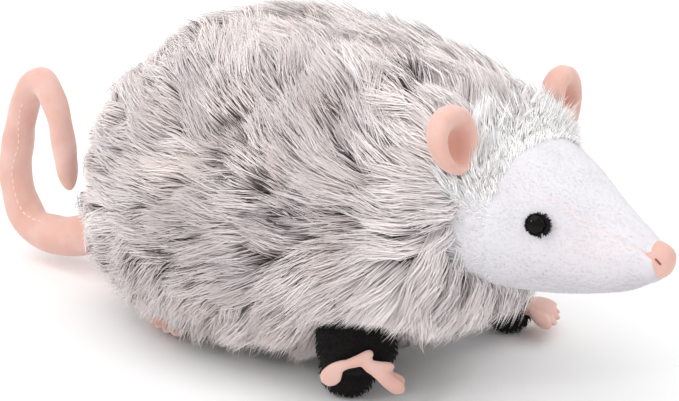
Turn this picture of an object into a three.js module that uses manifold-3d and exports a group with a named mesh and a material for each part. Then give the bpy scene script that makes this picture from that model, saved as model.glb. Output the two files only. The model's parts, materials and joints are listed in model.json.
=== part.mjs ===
// Stuffed toy opossum: a pear-shaped body in a long frosted coat, a smooth white wedge of a face,
// folded pink ears, black legs with pink hands and feet, and a pink tail curled up into a hook.
// Millimetres. +X is the way the nose points, +Y the toy's left side, +Z up from the floor.

import * as THREE from 'three';
import { mergeVertices } from 'three/addons/utils/BufferGeometryUtils.js';
import Module from 'manifold-3d';

const wasm = await Module();
wasm.setup();

const RIGHT = -1;
const LEFT = 1;
const radians = THREE.MathUtils.degToRad;

// Clearance between two pieces that touch.
const GAP = 0.3;

// Body, out to the tips of the coat. The widest ring lies at x = 0. The powers shape its round
// lines: 2 is a circle's, above 2 is boxier. rumpShare of its rings stand behind x = 0.
const BODY = {
  rear: 105, front: 126, halfWidth: 75, top: 152, bottom: 4, middle: 68,
  rumpDrop: 17, rumpPower: 2, rumpLowPower: 2.5, backPower: 2.1, bellyPower: 2.35,
  around: 24, rings: 18, rumpShare: 0.47,
};
// The coat's ring where it meets the face, and how late the body draws in towards it.
const FACE_RING = { halfWidth: 43, top: 124, bottom: 58, middle: 90 };
const DRAW_IN = { halfWidth: 1.7, top: 2.3, bottom: 2.1, middle: 1.6 };
// Where the grey coat of the trunk ends and the pale ruff behind the face begins. The ruff's own
// locks are rooted from RUFF_ROOT in front of there, and lie back over the trunk.
const RUFF_START = 90;
const RUFF_ROOT = 4;

// Coat: locks of long pile in rows round a core that lies "core" under the tips. Each lock is a
// flat blade with a low ridge, laid rearwards. Heights are over the core. On the rump the locks
// shorten towards the tail, where the rows crowd.
const COAT = {
  core: 9.5, rowPitch: 21, lockPitch: 21, fewest: 6, placeVary: 0.1,
  firstShare: 0.955, lastShare: 0.05, seed: 7,
};
const LOCK = {
  length: 37, width: 18, lengthVary: 0.16, widthVary: 0.12, turnVary: radians(9),
  tailLength: 0.45, tailRise: 2.2,
};
const LOCK_RINGS = [
  { share: 0, width: 0.7, height: -3.5, ridge: 3 },
  { share: 0.36, width: 1, height: 1.8, ridge: 4 },
  { share: 0.72, width: 0.72, height: 6.4, ridge: 3 },
];
const LOCK_TIP = { height: 10.6, vary: 2 };
// A lock's edges and tip are so thin that a cut which clears its faces by a gap reaches this many
// gaps beyond them.
const EDGE_REACH = 5;
// The coat's lie. Its swirl turns it up towards the spine above the flank and down towards the
// belly below. The rump and the chest calm the swirl and turn the lie down instead, and come in
// between these shares of the way to the face.
const LIE = {
  swirl: radians(40), rump: radians(30), chest: radians(26), chestCalm: 0.45,
  rumpFrom: 0.35, chestFrom: 0.7, chestTo: 0.97,
};

// Head: turned a little to the toy's left. u runs forward along the head from its pivot.
const HEAD = { pivot: 110, turn: radians(1), power: 2.2, jawPower: 2.8, around: 22, steps: 13 };
const HEAD_RINGS = [
  { u: 15, halfWidth: 41.5, top: 122, bottom: 60 },
  { u: 31, halfWidth: 38, top: 120, bottom: 58 },
  { u: 48, halfWidth: 30, top: 114, bottom: 58.5 },
  { u: 65, halfWidth: 21, top: 103, bottom: 61 },
  { u: 80, halfWidth: 13, top: 94.5, bottom: 64.8 },
  { u: 89.5, halfWidth: 8.4, top: 88.8, bottom: 70 },
];
const NOSE = {
  back: 89.5, tip: 97, halfWidth: 6.8, top: 89, bottom: 73, tipHeight: 81.5, around: 12, steps: 5,
};
const EYE = { share: 0.42, angle: 1.3, radius: 5, bulge: 2.4, sink: 1.5, around: 12, steps: 6 };
const EAR = {
  u: 15, side: 39, height: 125.5, halfWidth: 12.6, halfDepth: 9.5, halfHeight: 15,
  lean: radians(10), turn: radians(8), wall: 3.4, mouth: 8, around: 14, steps: 8,
};

// Tail: the points of its centre line in the toy's middle plane. It thins from root to tip.
const TAIL_LINE = [
  [-88, 0, 30], [-118, 0, 22.5], [-144, 0, 15.5], [-166, 0, 18], [-177, 1, 38],
  [-174.5, 2, 62], [-165.5, 1, 84], [-152, -2, 93.5], [-139.5, -5, 83], [-133, -7, 66],
  [-129, -8, 44],
];
const TAIL = { root: 11.4, bend: 8.4, tip: 5.2, bendAt: 0.45, cap: 0.05, around: 12, rings: 9 };
const TAIL_CUTS = [0, 0.33, 0.56, 0.78, 1];

// Legs: short stuffed tubes in black plush, each with a rounded sole that dips under the floor
// level by "dip" before it is cut flat.
const LEG = { around: 12, rings: 7, cap: 0.2, dip: 1.4, soleAround: 14, soleSteps: 8 };
const LEGS = {
  foreleg_right: {
    line: [[64, -27, 54], [72, -33, 33], [73, -34, 12]], radius: 18,
    sole: [70, -36, 11], soleSize: [13, 12.5],
  },
  foreleg_left: {
    line: [[62, 36, 42], [72, 52, 25], [78, 66, 12]], radius: 12.5,
    sole: [78, 70, 10], soleSize: [11.5, 11.5],
  },
  hindleg_right: {
    line: [[-34, -20, 48], [-36, -23, 28], [-36, -24, 14]], radius: 15,
    sole: [-36, -25, 9.6], soleSize: [15, 14],
  },
  hindleg_left: {
    line: [[-34, 20, 48], [-36, 23, 28], [-36, 24, 14]], radius: 15,
    sole: [-36, 25, 9.6], soleSize: [15, 14],
  },
};

// Hands and feet: a flat palm across the end of the leg with five flat digits in a fan. Each
// digit has its place along the palm (-1 to 1), its heading away from the palm's own, and how
// far its tip turns down, both in degrees.
const DIGIT = { halfWidth: 4.2, halfThickness: 2.1, around: 6, steps: 5, rootShare: 0.3 };
const PALM = { around: 10, steps: 4 };
const PAWS = {
  hand_right: {
    leg: 'foreleg_right', palm: [84, -47, 21], heading: -48, palmSize: [7, 10, 2.8], length: 19,
    digits: [[-0.9, -58, 22], [0, 25, -34], [0.5, 56, -10], [0.8, 52, 32], [1, 72, 14]],
  },
  hand_left: {
    leg: 'foreleg_left', palm: [89, 77, 12], heading: 30, palmSize: [9, 10, 3.2], length: 17,
    digits: [[-1, -50, 22], [-0.5, -24, 26], [0, 0, 26], [0.5, 24, 26], [1, 50, 22]],
  },
  foot_right: {
    leg: 'hindleg_right', palm: [-37, -34, 8.5], heading: -108, palmSize: [6, 11, 2.6], length: 13,
    digits: [[-1, -48, 20], [-0.5, -24, 22], [0, 0, 22], [0.5, 24, 22], [1, 48, 20]],
  },
  foot_left: {
    leg: 'hindleg_left', palm: [-37, 34, 8.5], heading: 108, palmSize: [6, 11, 2.6], length: 13,
    digits: [[-1, -48, 20], [-0.5, -24, 22], [0, 0, 22], [0.5, 24, 22], [1, 48, 20]],
  },
};
const PAW_CLEARANCE = 0.5;

const material = (color, roughness) => new THREE.MeshStandardMaterial({ color, roughness, metalness: 0 });
const coatFabric = material(0xb4adac, 1);
const ruffFabric = material(0xd9d4d2, 1);
const facePlush = material(0xe9e6ee, 0.95);
const pinkVelour = material(0xeabfb3, 0.9);
const blackPlush = material(0x14110f, 1);
const eyePlastic = material(0x0c0a09, 0.12);

// A closed form from its rings. "place" gives the point on a ring at an angle round it; ring 0
// and ring "rings" are its two poles. Angle 0 lies along the ring's first direction a and a
// quarter turn along its second direction b, with a x b pointing back towards ring 0.
function closedForm(around, rings, place) {
  const sphere = new THREE.SphereGeometry(1, around, rings);
  sphere.deleteAttribute('normal');
  sphere.deleteAttribute('uv');
  const form = mergeVertices(sphere);
  const position = form.attributes.position;
  for (let i = 0; i < position.count; i++) {
    const polar = Math.acos(THREE.MathUtils.clamp(position.getY(i), -1, 1));
    const angle = Math.atan2(position.getZ(i), -position.getX(i));
    const point = place(Math.round((polar / Math.PI) * rings), angle);
    position.setXYZ(i, point.x, point.y, point.z);
  }
  return form;
}

// A sine or cosine reshaped with its sign kept: power 2 is round, above 2 is boxier.
function rounded(value, power) {
  return Math.sign(value) * Math.abs(value) ** (2 / power);
}

// Falls from 1 at share 0 to 0 at share 1, as the quarter of a circle or rounded square does.
function quarterArc(share, power) {
  return (1 - THREE.MathUtils.clamp(share, 0, 1) ** power) ** (1 / power);
}

// The solid of a closed geometry, for cutting and joining, with a matrix that places it.
function solidOf(geometry, matrix = new THREE.Matrix4()) {
  const bare = geometry.clone();
  bare.deleteAttribute('normal');
  bare.deleteAttribute('uv');
  const merged = mergeVertices(bare).applyMatrix4(matrix);
  const mesh = new wasm.Mesh({
    numProp: 3,
    vertProperties: Float32Array.from(merged.attributes.position.array),
    triVerts: Uint32Array.from(merged.index.array),
  });
  return new wasm.Manifold(mesh);
}

// The largest closed surface of a solid, as a geometry.
function geometryOf(solid) {
  const largest = solid.decompose().reduce((a, b) => (a.volume() >= b.volume() ? a : b));
  const mesh = largest.getMesh();
  const geometry = new THREE.BufferGeometry();
  geometry.setAttribute('position', new THREE.BufferAttribute(Float32Array.from(mesh.vertProperties), 3));
  geometry.setIndex(Array.from(mesh.triVerts));
  geometry.computeVertexNormals();
  return geometry;
}

const joined = (solids) => wasm.Manifold.union(solids);
const without = (solid, cutters) => cutters.reduce((rest, cutter) => rest.subtract(cutter), solid);

// A block that fills everything beyond a plane through "at" that faces along "facing".
const BLOCK = 600;
function beyond(at, facing, matrix = new THREE.Matrix4()) {
  const turn = new THREE.Quaternion().setFromUnitVectors(new THREE.Vector3(1, 0, 0), facing);
  const centre = at.clone().addScaledVector(facing, BLOCK / 2);
  const placing = new THREE.Matrix4().compose(centre, turn, new THREE.Vector3(1, 1, 1));
  return solidOf(new THREE.BoxGeometry(BLOCK, BLOCK, BLOCK), placing.premultiply(matrix));
}

const FORWARD = new THREE.Vector3(1, 0, 0);
const BACKWARD = new THREE.Vector3(-1, 0, 0);
const DOWN = new THREE.Vector3(0, 0, -1);
const underFloor = beyond(new THREE.Vector3(0, 0, 0), DOWN);
const UNIT = new THREE.Vector3(1, 1, 1);
// The small step that a surface's slopes are measured over.
const PROBE = 0.004;

// The body's ring at x, grown outwards by "grow": half width, height of its widest line, and
// how far it reaches above and below that line.
function bodyRing(x, grow) {
  if (x < 0) {
    const share = quarterArc(-x / (BODY.rear + grow), BODY.rumpPower);
    return {
      halfWidth: (BODY.halfWidth + grow) * share,
      middle: BODY.middle - BODY.rumpDrop * (x / BODY.rear) ** 2,
      up: (BODY.top - BODY.middle + grow) * share,
      down: (BODY.middle - BODY.bottom + grow) * quarterArc(-x / (BODY.rear + grow), BODY.rumpLowPower),
    };
  }
  const drawn = (key) => {
    return THREE.MathUtils.lerp(FACE_RING[key], BODY[key], quarterArc(x / BODY.front, DRAW_IN[key]));
  };
  const middle = drawn('middle');
  return {
    halfWidth: drawn('halfWidth') + grow,
    middle,
    up: drawn('top') - middle + grow,
    down: middle - drawn('bottom') + grow,
  };
}

// How far along x a share of the way from the rump to the face seam lies. Shares crowd towards
// both ends, where the body turns fastest.
function bodyX(share, grow) {
  const rear = Math.min(share / BODY.rumpShare, 1);
  const front = THREE.MathUtils.clamp((share - BODY.rumpShare) / (1 - BODY.rumpShare), 0, 1);
  return BODY.front * Math.sin((Math.PI / 2) * front) - (BODY.rear + grow) * Math.cos((Math.PI / 2) * rear);
}

// A point of the body's surface. Angle 0 is the back and a quarter turn the left side.
function bodyPoint(share, angle, grow) {
  const x = bodyX(share, grow);
  const ring = bodyRing(x, grow);
  const above = Math.cos(angle) > 0;
  const power = above ? BODY.backPower : BODY.bellyPower;
  return new THREE.Vector3(
    x,
    ring.halfWidth * rounded(Math.sin(angle), power),
    ring.middle + (above ? ring.up : ring.down) * rounded(Math.cos(angle), power),
  );
}

function bodyForm(grow) {
  return closedForm(BODY.around, BODY.rings, (ring, angle) => {
    const share = Math.min(ring / (BODY.rings - 1), 1);
    if (ring === 0 || ring === BODY.rings) {
      const x = bodyX(share, grow);
      return new THREE.Vector3(x, 0, bodyRing(x, grow).middle);
    }
    return bodyPoint(share, angle, grow);
  });
}

// A repeatable draw between 0 and 1.
function drawFrom(seed) {
  let state = seed;
  return () => {
    state = (Math.imul(state, 1664525) + 1013904223) >>> 0;
    return state / 2 ** 32;
  };
}

// The core's surface at a place: the point, the way out, and the steps forward and round that
// one unit of share and of angle make.
function coreAt(share, angle) {
  const at = (s, a) => bodyPoint(s, a, -COAT.core);
  const forward = at(share + PROBE, angle).sub(at(share - PROBE, angle)).divideScalar(2 * PROBE);
  const round = at(share, angle + PROBE).sub(at(share, angle - PROBE)).divideScalar(2 * PROBE);
  return { point: at(share, angle), out: forward.clone().cross(round).normalize(), forward, round };
}

// How far the coat's lie turns from straight back, towards the next angle round the body.
function lieAt(share, angle) {
  const rump = 1 - THREE.MathUtils.smoothstep(share, 0, LIE.rumpFrom);
  const chest = THREE.MathUtils.smoothstep(share, LIE.chestFrom, LIE.chestTo);
  const swirl = LIE.swirl * (1 - rump) * (1 - LIE.chestCalm * chest);
  return (LIE.rump * rump + LIE.chest * chest) * Math.sin(angle) - swirl * Math.sin(2 * angle);
}

// One lock as a three-sided blade that walks over the core along the lie of the coat.
function lockForm(lock, grow) {
  const length = LOCK.length * lock.length;
  let { share, angle } = lock;
  let walked = 0;
  const stations = [...LOCK_RINGS.map((ring) => ring.share), 1].map((station) => {
    const here = coreAt(share, angle);
    const lie = lieAt(share, angle) + lock.turn + lock.bend * station;
    const step = station * length - walked;
    share = Math.max(share - (Math.cos(lie) * step) / here.forward.length(), PROBE);
    angle += (Math.sin(lie) * step) / here.round.length();
    walked += step;
    const there = coreAt(share, angle);
    const along = there.forward.clone().normalize().multiplyScalar(-Math.cos(lie));
    along.addScaledVector(there.round.clone().normalize(), Math.sin(lie));
    return { ...there, along, side: there.out.clone().cross(along) };
  });
  const last = LOCK_RINGS.length;
  return closedForm(3, last + 1, (ring, turn) => {
    if (ring > last) {
      const tip = stations[last];
      const height = LOCK_TIP.height - LOCK_TIP.vary * lock.lower;
      return tip.point.clone().addScaledVector(tip.out, height).addScaledVector(tip.along, EDGE_REACH * grow);
    }
    const section = LOCK_RINGS[Math.max(ring - 1, 0)];
    const { point, out, side } = stations[Math.max(ring - 1, 0)];
    if (ring === 0) {
      return point.clone().addScaledVector(out, section.height + section.ridge / 2);
    }
    if (Math.abs(turn) < 1) {
      return point.clone().addScaledVector(out, section.height + section.ridge + grow);
    }
    const halfWidth = (LOCK.width / 2) * lock.width * section.width + EDGE_REACH * grow;
    return point.clone()
      .addScaledVector(out, section.height - grow)
      .addScaledVector(side, Math.sign(turn) * halfWidth);
  });
}

// Rows of locks from the face seam back to the rump, each row set half a lock over.
const draw = drawFrom(COAT.seed);
const vary = (amount) => 1 + amount * (2 * draw() - 1);
const locks = [];
let rowShare = COAT.firstShare;
for (let row = 0; rowShare > COAT.lastShare; row++) {
  const ring = bodyRing(bodyX(rowShare, -COAT.core), -COAT.core);
  const girth = Math.PI * (ring.halfWidth + (ring.up + ring.down) / 2);
  const count = Math.max(COAT.fewest, Math.round(girth / COAT.lockPitch));
  for (let i = 0; i < count; i++) {
    const place = i + (row % 2) / 2 + COAT.placeVary * (2 * draw() - 1);
    locks.push({
      share: rowShare,
      angle: (place / count) * 2 * Math.PI - Math.PI,
      length: vary(LOCK.lengthVary) * Math.min(1, LOCK.tailLength + LOCK.tailRise * rowShare),
      width: vary(LOCK.widthVary),
      turn: LOCK.turnVary * (2 * draw() - 1),
      bend: LOCK.turnVary * (2 * draw() - 1),
      lower: draw(),
    });
  }
  rowShare -= COAT.rowPitch / coreAt(rowShare, 0).forward.length();
}

// Head: a plush wedge between the measured rings. A share of 0 is the face seam, 1 the muzzle.
function headLine(key) {
  return new THREE.SplineCurve(HEAD_RINGS.map((ring) => new THREE.Vector2(ring.u, ring[key])));
}
const headHalfWidth = headLine('halfWidth');
const headTop = headLine('top');
const headBottom = headLine('bottom');

function headPoint(share, angle) {
  const halfWidth = headHalfWidth.getPoint(share);
  const top = headTop.getPoint(share).y;
  const bottom = headBottom.getPoint(share).y;
  const power = Math.cos(angle) < 0 ? HEAD.jawPower : HEAD.power;
  return new THREE.Vector3(
    halfWidth.x,
    halfWidth.y * rounded(Math.sin(angle), power),
    (top + bottom) / 2 + ((top - bottom) / 2) * rounded(Math.cos(angle), power),
  );
}

function headForm() {
  return closedForm(HEAD.around, HEAD.steps, (ring, angle) => {
    const share = THREE.MathUtils.clamp((ring - 1) / (HEAD.steps - 2), 0, 1);
    if (ring === 0 || ring === HEAD.steps) {
      return headPoint(share, 0).lerp(headPoint(share, Math.PI), 0.5);
    }
    return headPoint(share, angle);
  });
}

// The way the head's surface faces at a share along it and an angle round it.
function headFacing(share, angle) {
  const along = headPoint(share + PROBE, angle).sub(headPoint(share - PROBE, angle));
  const round = headPoint(share, angle + PROBE).sub(headPoint(share, angle - PROBE));
  return round.cross(along).normalize();
}

// Nose: a short rounded wedge of velour, its back flat against the muzzle.
function noseForm() {
  const halfHeight = (NOSE.top - NOSE.bottom) / 2;
  return closedForm(NOSE.around, NOSE.steps, (ring, angle) => {
    const turn = (Math.PI / 2) * (Math.max(0, ring - 1) / (NOSE.steps - 1));
    const size = ring === 0 ? 0 : Math.cos(turn);
    const middle = THREE.MathUtils.lerp(NOSE.tipHeight, NOSE.bottom + halfHeight, Math.cos(turn));
    return new THREE.Vector3(
      THREE.MathUtils.lerp(NOSE.back, NOSE.tip, Math.sin(turn)),
      NOSE.halfWidth * size * Math.sin(angle),
      middle + halfHeight * size * Math.cos(angle),
    );
  });
}

// Eye: a glossy dome, modelled with its bulge along y and then turned to face out of the cheek.
function eyeForm(grow) {
  const eye = new THREE.SphereGeometry(EYE.radius + grow, EYE.around, EYE.steps);
  return eye.scale(1, (EYE.bulge + grow) / (EYE.radius + grow), 1);
}

function eyePlacing(side) {
  const facing = headFacing(EYE.share, side * EYE.angle);
  const at = headPoint(EYE.share, side * EYE.angle).addScaledVector(facing, -EYE.sink);
  const turn = new THREE.Quaternion().setFromUnitVectors(new THREE.Vector3(0, 1, 0), facing);
  return new THREE.Matrix4().compose(at, turn, UNIT);
}

// Ear: an oval of velour folded into a cup that opens to the front.
function earForm(grow) {
  const ear = new THREE.SphereGeometry(1, EAR.around, EAR.steps);
  return ear.scale(EAR.halfDepth + grow, EAR.halfWidth + grow, EAR.halfHeight + grow);
}

function earCup() {
  const hollow = new THREE.SphereGeometry(1, EAR.around, EAR.steps);
  hollow.scale(EAR.halfDepth, EAR.halfWidth - EAR.wall, EAR.halfHeight - EAR.wall);
  hollow.translate(EAR.mouth, 0, 0);
  return solidOf(earForm(0)).subtract(solidOf(hollow));
}

function earPlacing(side) {
  const turn = new THREE.Euler(-side * EAR.lean, 0, side * EAR.turn, 'ZYX');
  const at = new THREE.Vector3(EAR.u, side * EAR.side, EAR.height);
  return new THREE.Matrix4().compose(at, new THREE.Quaternion().setFromEuler(turn), UNIT);
}

// A tapering tube along a curve between two shares of its length. Each end is flat, or closes
// roundly over the share of the length that "cap" gives. POLE_SHARE is the smallest ring of a
// round end, as a share of the radius.
const FRAME_STEPS = 200;
const POLE_SHARE = 0.12;
function tubeForm({ curve, from, to, around, rings, radiusAt, capFrom = 0, capTo = 0 }) {
  const frames = curve.computeFrenetFrames(FRAME_STEPS, false);
  return closedForm(around, rings, (ring, angle) => {
    const t = THREE.MathUtils.lerp(from, to, THREE.MathUtils.clamp((ring - 1) / (rings - 2), 0, 1));
    const pole = ring === 0 || ring === rings;
    const closing = capFrom && t < from + capFrom ? (from + capFrom - t) / capFrom : 0;
    const ending = capTo && t > to - capTo ? (t - to + capTo) / capTo : 0;
    const round = quarterArc(Math.max(closing, ending), 2);
    const radius = pole ? 0 : radiusAt(t) * Math.max(round, POLE_SHARE);
    const frame = Math.round(t * FRAME_STEPS);
    return curve.getPointAt(t)
      .addScaledVector(frames.binormals[frame], radius * Math.cos(angle))
      .addScaledVector(frames.normals[frame], radius * Math.sin(angle));
  });
}

function curveThrough(points) {
  return new THREE.CatmullRomCurve3(points.map((point) => new THREE.Vector3(...point)));
}

// Leg: a stuffed tube and its sole, joined. The floor cuts the sole flat.
function legSolid(leg, grow) {
  const tube = tubeForm({
    curve: curveThrough(leg.line), from: 0, to: 1, around: LEG.around, rings: LEG.rings,
    radiusAt: () => leg.radius + grow, capFrom: LEG.cap, capTo: LEG.cap,
  });
  const [length, width] = leg.soleSize;
  const sole = new THREE.SphereGeometry(1, LEG.soleAround, LEG.soleSteps);
  sole.rotateX(Math.PI / 2);
  sole.scale(length + grow, width + grow, leg.sole[2] + LEG.dip + grow);
  sole.translate(...leg.sole);
  return solidOf(tube).add(solidOf(sole)).subtract(underFloor);
}

// Hand or foot, modelled with the palm's heading along x and then turned and put in place. Each
// digit's root is sunk into the palm.
function pawSolid(paw, grow) {
  const palm = new THREE.SphereGeometry(1, PALM.around, PALM.steps);
  palm.rotateX(Math.PI / 2);
  palm.scale(...paw.palmSize.map((size) => size + grow));
  const digits = paw.digits.map(([place, heading, droop]) => {
    const digit = new THREE.SphereGeometry(1, DIGIT.around, DIGIT.steps);
    digit.rotateZ(Math.PI / 2);
    digit.scale(paw.length / 2 + grow, DIGIT.halfWidth + grow, DIGIT.halfThickness + grow);
    digit.translate(paw.length * (0.5 - DIGIT.rootShare), 0, 0);
    const turn = new THREE.Euler(0, radians(droop), radians(heading), 'ZYX');
    const spread = (paw.palmSize[1] - DIGIT.halfWidth / 2) * place;
    const placing = new THREE.Matrix4().makeRotationFromEuler(turn).setPosition(0, spread, 0);
    return solidOf(digit, placing);
  });
  const [, , height] = paw.palm;
  const floor = beyond(new THREE.Vector3(0, 0, PAW_CLEARANCE - grow - height), DOWN);
  const placing = new THREE.Matrix4().makeRotationZ(radians(paw.heading)).setPosition(...paw.palm);
  return joined([solidOf(palm), ...digits]).subtract(floor).transform(placing.elements);
}

const legs = Object.entries(LEGS).map(([name, leg]) => ({
  name, solid: legSolid(leg, 0), grown: legSolid(leg, GAP),
}));
const paws = Object.entries(PAWS).map(([name, paw]) => ({
  name, leg: paw.leg, solid: pawSolid(paw, 0), grown: pawSolid(paw, GAP),
}));

// Tail lengths, each flat where it meets the next. They thin fastest beyond "bendAt".
const tailCurve = curveThrough(TAIL_LINE);
function tailRadius(t) {
  if (t < TAIL.bendAt) {
    return THREE.MathUtils.lerp(TAIL.root, TAIL.bend, t / TAIL.bendAt);
  }
  return THREE.MathUtils.lerp(TAIL.bend, TAIL.tip, (t - TAIL.bendAt) / (1 - TAIL.bendAt));
}

function tailForm(index, grow) {
  const cutShare = GAP / 2 / tailCurve.getLength();
  const isLast = index === TAIL_CUTS.length - 2;
  return tubeForm({
    curve: tailCurve,
    from: TAIL_CUTS[index] + (index ? cutShare : 0),
    to: TAIL_CUTS[index + 1] - (isLast ? 0 : cutShare),
    around: TAIL.around,
    rings: TAIL.rings,
    radiusAt: (t) => tailRadius(t) + grow,
    capTo: isLast ? TAIL.cap : 0,
  });
}

// The head's pieces share one turned group. Its matrix also places the cuts they make.
const headGroup = new THREE.Group();
headGroup.position.set(HEAD.pivot, 0, 0);
headGroup.rotation.z = HEAD.turn;
headGroup.updateMatrixWorld(true);
const headMatrix = headGroup.matrixWorld;
const inBody = (placing) => headMatrix.clone().multiply(placing);

const core = solidOf(bodyForm(-COAT.core));
const ruffFront = beyond(new THREE.Vector3(HEAD_RINGS[0].u - GAP, 0, 0), FORWARD, headMatrix);
const trunkFront = beyond(new THREE.Vector3(RUFF_START, 0, 0), FORWARD);
const trunkBack = beyond(new THREE.Vector3(RUFF_START + GAP, 0, 0), BACKWARD);
const grownLimbs = [...legs, ...paws].map((piece) => piece.grown);
const grownEars = [RIGHT, LEFT].map((side) => solidOf(earForm(GAP), inBody(earPlacing(side))));
const grownTail = solidOf(tailForm(0, GAP));

// The ruff's locks lie over the front of the trunk, which is cut clear of them.
const isRuff = (lock) => bodyX(lock.share, -COAT.core) > RUFF_START + RUFF_ROOT;
const locksOf = (chosen, grow) => chosen.map((lock) => solidOf(lockForm(lock, grow)));
const ruffLocks = locks.filter(isRuff);
const trunkLocks = locks.filter((lock) => !isRuff(lock));
const grownRuff = joined(locksOf(ruffLocks, GAP));
const trunk = joined([core.subtract(trunkFront), ...locksOf(trunkLocks, 0)]);
const ruff = joined([core.subtract(trunkBack), ...locksOf(ruffLocks, 0)]);
const torso = without(trunk, [trunkFront, grownRuff, grownTail, ...grownLimbs, underFloor]);
const neck = without(ruff, [ruffFront, ...grownEars, ...grownLimbs]);
const head = without(solidOf(headForm()), [
  ...[RIGHT, LEFT].map((side) => solidOf(eyeForm(GAP), eyePlacing(side))),
  ...[RIGHT, LEFT].map((side) => solidOf(earForm(GAP), earPlacing(side))),
]);
const noseSeat = beyond(new THREE.Vector3(HEAD_RINGS[HEAD_RINGS.length - 1].u + GAP, 0, 0), BACKWARD);
const nose = solidOf(noseForm()).subtract(noseSeat);

function meshOf(name, geometry, finish, placing) {
  const mesh = new THREE.Mesh(geometry, finish);
  mesh.name = name;
  if (placing) {
    placing.decompose(mesh.position, mesh.quaternion, mesh.scale);
  }
  return mesh;
}

const group = new THREE.Group();
group.add(meshOf('torso', geometryOf(torso), coatFabric));
group.add(meshOf('neck', geometryOf(neck), ruffFabric));
group.add(headGroup);
headGroup.add(meshOf('head', geometryOf(head), facePlush));
headGroup.add(meshOf('nose', geometryOf(nose), pinkVelour));
[[RIGHT, 'right'], [LEFT, 'left']].forEach(([side, word]) => {
  headGroup.add(meshOf(`eye_${word}`, geometryOf(solidOf(eyeForm(0))), eyePlastic, eyePlacing(side)));
  headGroup.add(meshOf(`ear_${word}`, geometryOf(earCup()), pinkVelour, earPlacing(side)));
});
legs.forEach((leg) => {
  const hand = paws.find((paw) => paw.leg === leg.name);
  group.add(meshOf(leg.name, geometryOf(leg.solid.subtract(hand.grown)), blackPlush));
});
paws.forEach((paw) => group.add(meshOf(paw.name, geometryOf(paw.solid), pinkVelour)));
TAIL_CUTS.slice(1).forEach((_, index) => {
  group.add(meshOf(`tail_${index + 1}`, geometryOf(solidOf(tailForm(index, 0))), pinkVelour));
});

// The origin goes to the floor below the middle of the whole toy.
const bounds = new THREE.Box3().setFromObject(group);
group.position.set(-(bounds.min.x + bounds.max.x) / 2, -(bounds.min.y + bounds.max.y) / 2, -bounds.min.z);

export default group;
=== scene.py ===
import json
import math

import bpy
import numpy as np
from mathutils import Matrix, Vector


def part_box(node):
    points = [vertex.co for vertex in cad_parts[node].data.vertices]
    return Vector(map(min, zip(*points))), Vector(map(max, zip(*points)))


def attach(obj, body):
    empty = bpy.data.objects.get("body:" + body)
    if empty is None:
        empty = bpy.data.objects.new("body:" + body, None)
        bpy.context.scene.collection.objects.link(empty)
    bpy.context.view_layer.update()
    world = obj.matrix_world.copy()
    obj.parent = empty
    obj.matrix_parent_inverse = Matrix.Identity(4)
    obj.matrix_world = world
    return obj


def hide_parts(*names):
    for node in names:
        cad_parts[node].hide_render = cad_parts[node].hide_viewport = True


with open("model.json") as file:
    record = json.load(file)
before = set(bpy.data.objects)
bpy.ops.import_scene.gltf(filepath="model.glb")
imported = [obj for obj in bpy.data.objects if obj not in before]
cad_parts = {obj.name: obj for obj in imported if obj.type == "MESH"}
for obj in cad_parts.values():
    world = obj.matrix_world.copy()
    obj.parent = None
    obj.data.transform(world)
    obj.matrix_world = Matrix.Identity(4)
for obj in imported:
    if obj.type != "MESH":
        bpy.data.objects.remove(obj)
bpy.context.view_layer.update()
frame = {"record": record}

# Trunk: a pear-shaped body sewn from pile fabric and stuffed with polyester fibre. The knitted
# backing is dark grey and shows only where the long pile parts. It narrows to the face seam.
# Sizes are millimetres in the toy's own frame: x is 0 at the body's widest ring, y is 0 in its
# middle plane and z is 0 on the floor. The hind soles are 36 mm behind that ring.
HIND_SOLE_BACK = 36.0
BODY = {"rear": 105.0, "front": 126.0, "half_width": 75.0, "top": 152.0, "bottom": 4.0, "middle": 68.0}
RUMP = {"drop": 17.0, "power": 2.0, "low_power": 2.5, "share": 0.47}
BACK_POWER = 2.1
BELLY_POWER = 2.35
FACE_RING = {"half_width": 43.0, "top": 124.0, "bottom": 58.0, "middle": 90.0}
DRAW_IN = {"half_width": 1.7, "top": 2.3, "bottom": 2.1, "middle": 1.6}
COAT_DEPTH = 10.5
SLOPE_STEP = 0.004
FULL_TURN = 2 * math.pi
MM = 1000.0  # millimetres in a metre

hind_soles = [m["pos_m"] for m in frame["record"]["mounts"] if "hindleg" in m["name"]]
ORIGIN = np.array([hind_soles[0][0] * MM + HIND_SOLE_BACK, sum(m[1] for m in hind_soles) / 2 * MM, 0.0])


def quarter_arc(share, power):
    return (1 - np.clip(share, 0, 1) ** power) ** (1 / power)


def rounded(value, power):
    return np.sign(value) * np.abs(value) ** (2 / power)


def smooth(low, high, value):
    """Rises from 0 at low to 1 at high, with soft ends."""
    share = np.clip((value - low) / (high - low), 0, 1)
    return share * share * (3 - 2 * share)


def body_x(share, grow):
    rear = np.minimum(share / RUMP["share"], 1)
    front = np.clip((share - RUMP["share"]) / (1 - RUMP["share"]), 0, 1)
    return BODY["front"] * np.sin(math.pi / 2 * front) - (BODY["rear"] + grow) * np.cos(math.pi / 2 * rear)


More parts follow.
